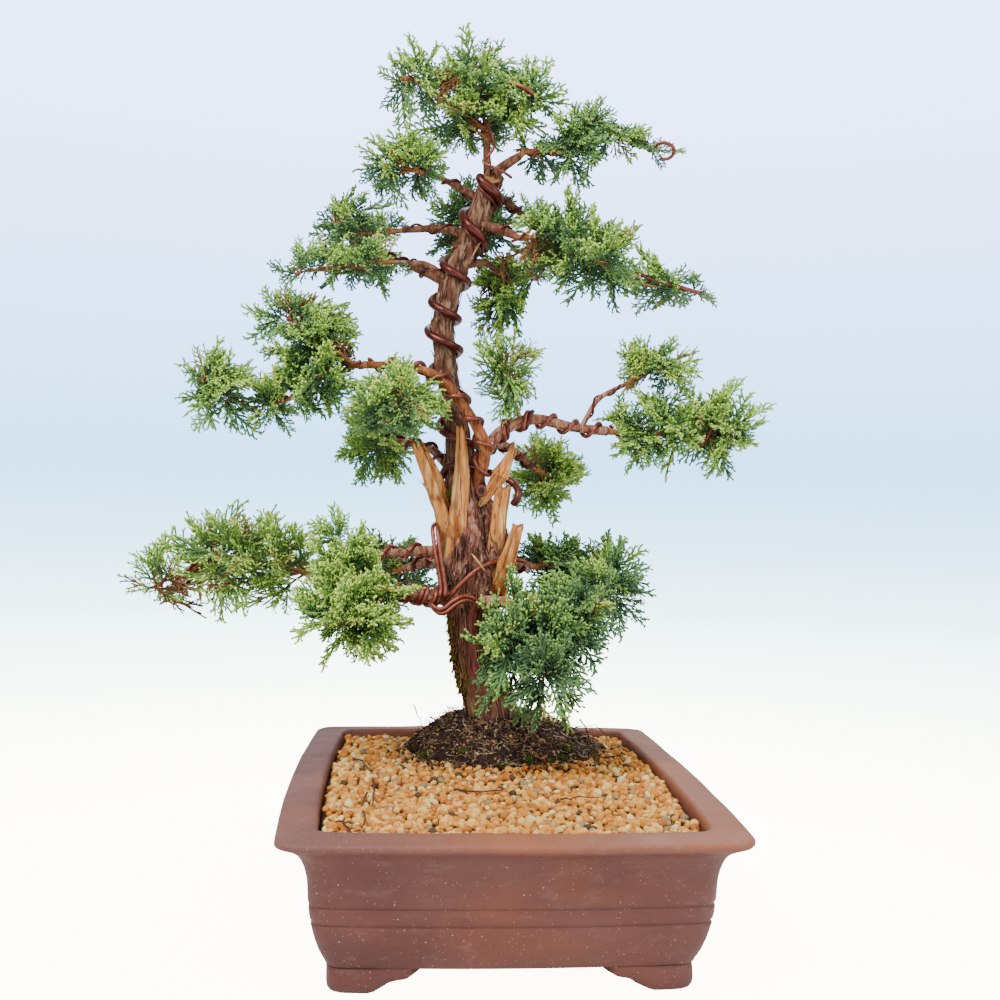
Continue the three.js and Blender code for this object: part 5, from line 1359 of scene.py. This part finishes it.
TINT_SETS = np.array([(0, 0, 1, 2), (0, 1, 1, 2), (0, 1, 2, 3), (1, 2, 3, 4), (1, 3, 4, 5), (2, 3, 5, 6),
                      (7, 7, 5, 5), (8, 8, 8, 7)])
OLIVE_SET = 6
DEAD_SET = 7
OLIVE_BELOW = {True: 0.16, False: 0.03}
DEAD_ABOVE = {True: 0.975, False: 0.992}
FARTHEST_TIP = 1.28
DEEP_SHADE = 0.55


def spray_template(seed, loose):
    """One spray: a bent main cord, blunt side cords by turns and shoots on them, palest at the tips"""
    random = np.random.default_rng(seed)
    bend = random.uniform(-3.5, 3.5)
    sag = random.uniform(-2, 3)
    sides = 7 if loose else 11

    def main_at(share):
        return np.array([share * SPRAY_LENGTH, bend * share ** 2, sag * share ** 2])

    main = np.array([[main_at(share) for share in (0, 0.5, 0.93, 1)]])
    main_points, main_blocks = strands(main, np.array([[0.7, 0.95, 0.8, 0]]))
    paths = []
    radii = []
    side_levels = []
    shoot_ends = []
    shoot_levels = []
    hand = random.choice([-1, 1])
    for place in np.linspace(0.08, 0.92, sides) + random.normal(0, 0.015, sides):
        hand = -hand
        foot = main_at(place)
        outline = (1 - place) ** 0.7 * min(1, 0.6 + 1.7 * place)
        long = SPRAY_LENGTH * (0.16 + (0.42 if loose else 0.33) * outline) * random.uniform(0.8, 1.2)
        turn = random.uniform(0.4, 0.62) if loose else random.uniform(0.55, 0.85)
        lean = random.normal(0.1, 0.24)
        ahead = np.array([math.cos(turn), hand * math.sin(turn), lean])
        curl = np.array([0.16, -0.08 * hand, 0.05]) * long
        tip = foot + ahead * long + curl
        paths.append([foot, foot + ahead * long * 0.78 + curl * 0.6, tip])
        radii.append([0.6, 0.8, 0] if loose else [0.72, 0.98, 0])
        level = 1 if place > 0.3 else 0
        side_levels.append(level)
        count = min(int(long / (4.6 if loose else 3.3)), 3 if loose else 4)
        for order in range(count):
            along = (order + 0.8) / (count + 0.7)
            base = foot + (tip - foot) * along
            way = -1 if order % 2 else 1
            twist = turn * hand + way * random.uniform(0.5, 0.85)
            reach = max(3.2, long * (0.58 - 0.36 * along)) * random.uniform(0.85, 1.2)
            shoot = np.array([math.cos(twist), math.sin(twist), lean + random.normal(0.05, 0.3)])
            shoot_ends.append([base, base + shoot * reach + [reach * 0.12, 0, 0]])
            shoot_levels.append(min(level + (1 if along > 0.45 else 0) + (1 if place > 0.6 else 0), 2))
    side_points, side_blocks = strands(np.array(paths), np.array(radii))
    shoot_ends = np.array(shoot_ends)
    thick = random.uniform(*((0.7, 0.9) if loose else (0.9, 1.12)), len(shoot_ends))
    small, [corners] = spindles(shoot_ends[:, 0], shoot_ends[:, 1], thick)
    side_levels = np.array(side_levels)
    levels = [np.repeat([0, 1], 3), np.full(3, 2), np.zeros(1, int),
              np.repeat(side_levels, 3), np.repeat(side_levels + 1, 3), side_levels,
              (np.array(shoot_levels)[:, None] + [0, 0, 0, 1, 1, 1]).ravel()]
    blocks = [*main_blocks, *(block + len(main_points) for block in side_blocks),
              corners + len(main_points) + len(side_points)]
    return np.concatenate([main_points, side_points, small]), blocks, levels


def chance(seed):
    """A fixed run of numbers from 0 to 1 for a seed"""
    state = seed
    while True:
        state = (state * 1664525 + 1013904223) % 4294967296
        yield state / 4294967296


def level_in(lobes, places):
    """How far out places lie in a mass: 0 at a lobe's middle, 1 on its skin"""
    lobes = np.array(lobes, float)
    off = (places[:, None] - lobes[None, :, :3]) / lobes[None, :, 3:]
    return np.linalg.norm(off, axis=2).min(1)


def bent(first, middle, last, share):
    """Points of a bent twig at a share of its length"""
    return first * (1 - share) ** 2 + middle * 2 * share * (1 - share) + last * share ** 2


def turned(vectors, axes, angles):
    """Vectors turned about unit axes by angles"""
    part = np.cos(angles)[..., None]
    along = (vectors * axes).sum(-1, keepdims=True)
    return vectors * part + np.cross(axes, vectors) * np.sin(angles)[..., None] + axes * along * (1 - part)


limb_stretches = []
for row in range(len(TRUNK_STATIONS) - 1):
    radius = TRUNK_STATIONS[row:row + 2, 3].max() * 1.14 + TRUNK_WIRE
    limb_stretches.append((*TRUNK_STATIONS[row:row + 2, :3], radius))
for route, thick in BOUGHS.values():
    points = along_curve(route, np.linspace(0, 1, 9))
    limb_stretches += [(points[row], points[row + 1], thick[0] / 2 + 1.5) for row in range(8)]
for planks in DEAD_WOOD.values():
    for wide, thick, route in planks:
        points = np.array(route, float)
        limb_stretches += [(points[row], points[row + 1], wide[0] / 2) for row in range(len(points) - 1)]


def clear_of_limbs(places, margin):
    free = np.ones(len(places), bool)
    for start, end, radius in limb_stretches:
        line = end - start
        share = np.clip((places - start) @ line / (line @ line), 0, 1)
        free &= np.linalg.norm(places - start - share[:, None] * line, axis=1) > radius + margin
    return free


leaf_scale, leaf_in, leaf_out = new_group(
    "leaf_scales", [("Colour", "NodeSocketColor", (0.1, 0.2, 0.05, 1)), ("Depth", "NodeSocketFloat", 0.4)],
    [("Colour", "NodeSocketColor"), ("Height", "NodeSocketFloat")])
# Painted shade: each leaf darkens towards the edges of its scales, in the creases between them
leaf_place = add_node(leaf_scale, "ShaderNodeTexCoord").outputs["Object"]
leaf_cells = add_node(leaf_scale, "ShaderNodeTexVoronoi", {"Vector": leaf_place, "Scale": 900})
leaf_edge = spread(leaf_scale, leaf_cells.outputs["Distance"], 0.35, 0.75)
leaf_share = maths(leaf_scale, "MULTIPLY", leaf_edge, leaf_in["Depth"])
leaf_shown = mixed(leaf_scale, leaf_share, leaf_in["Colour"], (0.02, 0.05, 0.015, 1))
leaf_scale.links.new(leaf_shown, leaf_out["Colour"])
leaf_scale.links.new(leaf_edge, leaf_out["Height"])
leaf_materials = []
for index, colour in enumerate(LEAF_TINTS):
    material, tree, shader = new_material(f"juniper_leaf_{index}", 0.58, 0.22)
    scales = use_group(tree, leaf_scale, Colour=linear(colour), Depth=0.28)
    tree.links.new(scales["Colour"], shader.inputs["Base Color"])
    set_bump(tree, shader, scales["Height"], -0.4, 0.0004)
    leaf_materials.append(material)

TWIG_TINTS = [("#7c4526", "#b87a4a"), ("#7a6a3a", "#a8934e"), ("#4a7037", "#5d8040")]
twig_materials = [fibrous(f"twig_bark_{index}", *tints, 180, (0.8, 0.3), 0.0004)
                  for index, tints in enumerate(TWIG_TINTS)]

compact_sprays = [spray_template(400 + kind, False) for kind in range(SPRAY_KINDS)]
loose_sprays = [spray_template(500 + kind, True) for kind in range(SPRAY_KINDS)]
stem_tubes = []
for order, (name, (bough, brightness, lobes)) in enumerate(MASSES.items()):
    numbers = chance(order * 7919 + 17)
    random = np.random.default_rng(900 + order)
    loose = name in LOOSE_MASSES
    templates = loose_sprays if loose else compact_sprays
    fan = HIDDEN_FAN if name in HIDDEN_MASSES else FANS.get(name, USUAL_FAN)
    others = [row for other, (_, _, table) in MASSES.items() if other != name for row in table]
    route, thick = BOUGHS[bough]
    points, ahead, _, _ = frames_along(route, np.linspace(0, 1, 9))
    start = points[-1] - ahead[-1]
    skeleton = np.zeros((0, 3))
    twigs = Gathered()
    leaves = Gathered()
    for lobe_order, lobe in enumerate(lobes):
        centre = np.array(lobe[:3], float)
        half = np.array(lobe[3:], float)
        if lobe_order:
            start = skeleton[np.linalg.norm(skeleton - centre, axis=1).argmin()]
        end = centre + unit(centre - start) * half * STEM_REACH
        knee = start + (centre - start) * 0.3 + [0, 0, -3.0] if lobe_order else start + ahead[-1] * 8
        stem = along_curve([start, knee, centre, end], np.linspace(0, 1, STEM_POINTS))
        base = thick[1] / 2 * (0.7 if lobe_order else 1)
        twigs.add(*strands(stem[None], np.linspace(base, 0.7, STEM_POINTS)[None], 6), 0)
        if name in STEM_WIRES:
            gauge = STEM_WIRES[name] * (0.8 if lobe_order else 1)
            guides = [start, knee, centre, end]
            wound = winding(guides, (base * 2, base), 0.04, 0.86, gauge * 8, gauge, order + lobe_order)
            stem_tubes.append((wound, gauge / 2))
        shell = 4 / 3 * math.pi * (half[0] * half[1] + half[1] * half[2] + half[0] * half[2])

        count = max(5, round(shell / SHELL_PER_TWIG))
        up = 1 - (2 * np.arange(count) + 1) / count
        angle = next(numbers) * 2 * math.pi + np.arange(count) * GOLDEN_ANGLE
        flat = np.sqrt(1 - up ** 2)
        aims = np.column_stack([flat * np.cos(angle), flat * np.sin(angle), up]) * half
        picks = np.array([(next(numbers), next(numbers)) for _ in range(count)])
        row = (2 + picks[:, 0] * 11).astype(int)
        places = stem[row]
        along = unit(np.gradient(stem, axis=0))[row]
        vigour = random.uniform(0.84, 1.06, count) + (random.random(count) < 0.14) * 0.14
        tips = centre + aims * vigour[:, None]
        keep = clear_of_limbs(tips, 2) & (level_in(others, tips) > level_in(lobes, tips) - 0.1)
        tables = (aims, picks, places, along, vigour, tips)
        aims, picks, places, along, vigour, tips = (table[keep] for table in tables)
        if len(tips) == 0:
            continue
        way = tips - places
        gap = np.linalg.norm(way, axis=1)
        ends = tips - unit(way) * np.minimum(SPRAY_LENGTH * 0.85, gap * 0.6)[:, None]
        bends = (places + ends) / 2 + along * (gap * 0.16)[:, None]
        bends = bends + random.normal(0, 1.4, (len(tips), 3)) + [0, 0, 1]
        shares = np.linspace(0, 1, TWIG_POINTS)[:, None, None]
        side_twigs = bent(places, bends, ends, shares).transpose(1, 0, 2)
        twigs.add(*strands(side_twigs, np.tile(np.linspace(1.1, 0.5, TWIG_POINTS), (len(tips), 1)), 4),
                  random.choice(2, len(tips), p=[0.7, 0.3]))
        skeleton = np.concatenate([skeleton, stem[3:], side_twigs[:, 2:].reshape(-1, 3)])

        heading = unit(ends - bends)
        level = np.array([0, 0, 1.0]) - heading * heading[:, 2:]
        level = unit(level + 0.02 * np.array([0.3, 0.9, 0]))
        normal = turned(level, heading, (picks[:, 1] - 0.5) * 2.6)
        roots = [ends - heading]
        directions = [unit(heading + 0.4 * unit(way))]
        normals = [normal]
        lengths = [SPRAY_LENGTH * random.uniform(0.9, 1.15, len(tips)) * vigour]
        depth = [np.ones(len(tips))]
        for step in range(fan):
            share = 0.3 + 0.68 * (step + 0.5 + random.uniform(-0.2, 0.2, len(tips))) / fan
            spot = share[:, None]
            tangent = unit((bends - places) * (1 - spot) + (ends - bends) * spot)
            hand = np.where((np.arange(len(tips)) + step) % 2, 1, -1)
            tilted = unit(normal + random.normal(0, 0.3, (len(tips), 3)))
            tilted = unit(tilted - tangent * (tilted * tangent).sum(1, keepdims=True))
            direction = turned(tangent, tilted, hand * random.uniform(0.5, 0.95, len(tips)))
            roots.append(bent(places, bends, ends, spot))
            directions.append(unit(direction + [0, 0, 0.22]))
            normals.append(tilted)
            growth = random.uniform(0.75, 1.1, len(tips)) * (0.62 + 0.38 * share)
            lengths.append(SPRAY_LENGTH * growth * vigour)
            depth.append(share)
        roots, directions, normals = (np.concatenate(table) for table in (roots, directions, normals))
        lengths = np.concatenate(lengths)
        depth = np.concatenate(depth)
        far = level_in(lobes, roots + directions * lengths[:, None])
        lengths = lengths * np.clip(1.6 - 0.55 * far, 0.55, 1) * SPRAY_GROWTH.get(name, 1)
        reached = roots + directions * lengths[:, None]
        far = level_in(lobes, reached)
        keep = clear_of_limbs(reached, 1) & clear_of_limbs((reached + roots) / 2, 0.5)
        keep &= (level_in(others, reached) > far - 0.08) & (far < FARTHEST_TIP)
        tables = (roots, directions, normals, lengths, depth, far, reached)
        roots, directions, normals, lengths, depth, far, reached = (table[keep] for table in tables)
        across = unit(np.cross(normals, directions))
        through = np.cross(directions, across)

        kind = random.integers(0, SPRAY_KINDS, len(roots))
        # Painted light and shade: sprays high and far out in a lobe get paler tints, those deep inside darker
        height = (reached[:, 2] - centre[2]) / half[2]
        lit = brightness + 0.8 + height * 0.8 + (far - 0.85) * 2.2 - (depth < DEEP_SHADE) * 0.7
        tint = np.clip(np.round(lit + random.normal(0, 0.6, len(roots))), 0, 5).astype(int)
        fate = random.random(len(roots))
        tint[fate < OLIVE_BELOW[loose]] = OLIVE_SET
        tint[fate > DEAD_ABOVE[loose]] = DEAD_SET
        if (name, lobe_order) in BROWN_SHOOTS:
            lowest, highest, brown_share = BROWN_SHOOTS[name, lobe_order]
            tint[(height > lowest) & (height < highest) & (fate > 1 - brown_share)] = DEAD_SET
        for which in range(SPRAY_KINDS):
            chosen = np.flatnonzero(kind == which)
            if len(chosen) == 0:
                continue
            shape, blocks, levels = templates[which]
            axes = np.stack([directions[chosen], across[chosen], through[chosen]], axis=1)
            scale = lengths[chosen, None, None] / SPRAY_LENGTH
            made = roots[chosen, None] + np.einsum("va,nab->nvb", shape, axes) * scale
            shift = (np.arange(len(chosen)) * len(shape))[:, None, None]
            for block, level in zip(blocks, levels):
                leaves.faces.append((block[None] + shift).reshape(-1, block.shape[1]) + leaves.count)
                leaves.tints.append(TINT_SETS[tint[chosen]][:, level].ravel())
            leaves.points.append(made.reshape(-1, 3))
            leaves.count += made.shape[0] * made.shape[1]
    leaf_piece = leaves.make(name.replace("mass", "leaves"), leaf_materials)
    twig_piece = twigs.make(name.replace("mass", "twigs"), twig_materials)
    for piece in (leaf_piece, twig_piece):
        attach(piece, "root")
    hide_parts(name)
make_wire("wires_in_foliage", stem_tubes)

# Studio: a pale seamless floor that curves up all round, a pale sky and three soft lights. The floor
# glows to the camera alone, brightest round the pot, as painted light.
FLOOR_PROFILE = [(0.001, 0), (1.6, 0), (2.2, 0.02), (2.7, 0.14), (3.1, 0.4), (3.35, 0.8), (3.5, 1.4),
                 (3.55, 2.4)]
FLOOR_SIDES = 96
FLOOR_DROP = 0.0004
turn = np.linspace(0, 2 * math.pi, FLOOR_SIDES, endpoint=False)
floor_rings = [ray(turn) * radius + [0, 0, height - FLOOR_DROP] for radius, height in FLOOR_PROFILE]
floor_faces = wall_faces(len(FLOOR_PROFILE), FLOOR_SIDES)[0]
floor_mesh = bpy.data.meshes.new("studio_floor")
floor_mesh.from_pydata(np.concatenate(floor_rings).tolist(), [], floor_faces.tolist())
floor_mesh.shade_smooth()
floor = bpy.data.objects.new("studio_floor", floor_mesh)
bpy.context.scene.collection.objects.link(floor)
backdrop, tree, shader = new_material("pale_backdrop", 0.9, 0.1)
squares = [maths(tree, "POWER", coordinate(tree, axis), 2) for axis in (0, 1)]
away = maths(tree, "SQRT", maths(tree, "ADD", *squares))
far_off = spread(tree, away, 1.1, 3.1)
tree.links.new(mixed(tree, far_off, linear("#eeeeec"), linear("#b9bcc0")), shader.inputs["Base Color"])
# Painted light: the floor glows to the camera alone, brightest round the pot, fading outwards to a dim blue
# and blue up the walls
glow = mixed(tree, spread(tree, away, 0.35, 1.1), (13, 12, 9.5, 1), (5.8, 7.8, 6.6, 1))
glow = mixed(tree, far_off, glow, (0.55, 2.1, 3.9, 1))
glow = mixed(tree, spread(tree, coordinate(tree, 2), 0.3, 1.7), glow, (2.6, 3.4, 6.2, 1))
tree.links.new(glow, shader.inputs["Emission Color"])
camera_ray = add_node(tree, "ShaderNodeLightPath").outputs["Is Camera Ray"]
tree.links.new(camera_ray, shader.inputs["Emission Strength"])
floor_mesh.materials.append(backdrop)

world = bpy.data.worlds.new("pale_sky")
world.use_nodes = True
world.node_tree.nodes["Background"].inputs["Color"].default_value = linear("#e4ecf4")
world.node_tree.nodes["Background"].inputs["Strength"].default_value = 1.68
bpy.context.scene.world = world
LIGHT_AIM = np.array([0, 0, 0.28])
LIGHTS = [
    ("key_light", (-0.9, -1.1, 1.7), 1.0, 45, (1, 0.98, 0.95)),
    ("fill_light", (1.3, -0.9, 0.9), 1.4, 16, (0.95, 0.98, 1)),
    ("back_light", (0.3, 1.4, 1.6), 1.2, 14, (0.95, 0.98, 1)),
]
for name, place, size, power, colour in LIGHTS:
    lamp = bpy.data.lights.new(name, "AREA")
    lamp.shape = "DISK"
    lamp.size = size
    lamp.energy = power
    lamp.color = colour
    made = bpy.data.objects.new(name, lamp)
    made.location = place
    east, north, up = LIGHT_AIM - place
    made.rotation_euler = (math.atan2(math.hypot(east, north), -up), 0, math.atan2(north, east) - math.pi / 2)
    bpy.context.scene.collection.objects.link(made)

# Camera: level with the middle of the tree, a little to its left, as the photo was taken.
CAMERA_PLACE = np.array([-65, -806, 264]) * MILLIMETRE
CAMERA_YAW = math.radians(4.54)
CAMERA_PITCH = math.radians(0.38)
CAMERA_ROLL = math.radians(1.14)
FOCAL_PIXELS = 1205
PHOTO_PIXELS = 1000
lens = bpy.data.cameras.new("camera")
lens.sensor_width = 36
lens.lens = FOCAL_PIXELS / PHOTO_PIXELS * lens.sensor_width
lens.clip_start = 0.02
camera = bpy.data.objects.new("camera", lens)
camera.location = POT_MIDDLE + CAMERA_PLACE
camera.rotation_mode = "XYZ"
camera.rotation_euler = (math.pi / 2 + CAMERA_PITCH, -CAMERA_ROLL, -CAMERA_YAW)
bpy.context.scene.collection.objects.link(camera)
bpy.context.scene.camera = camera
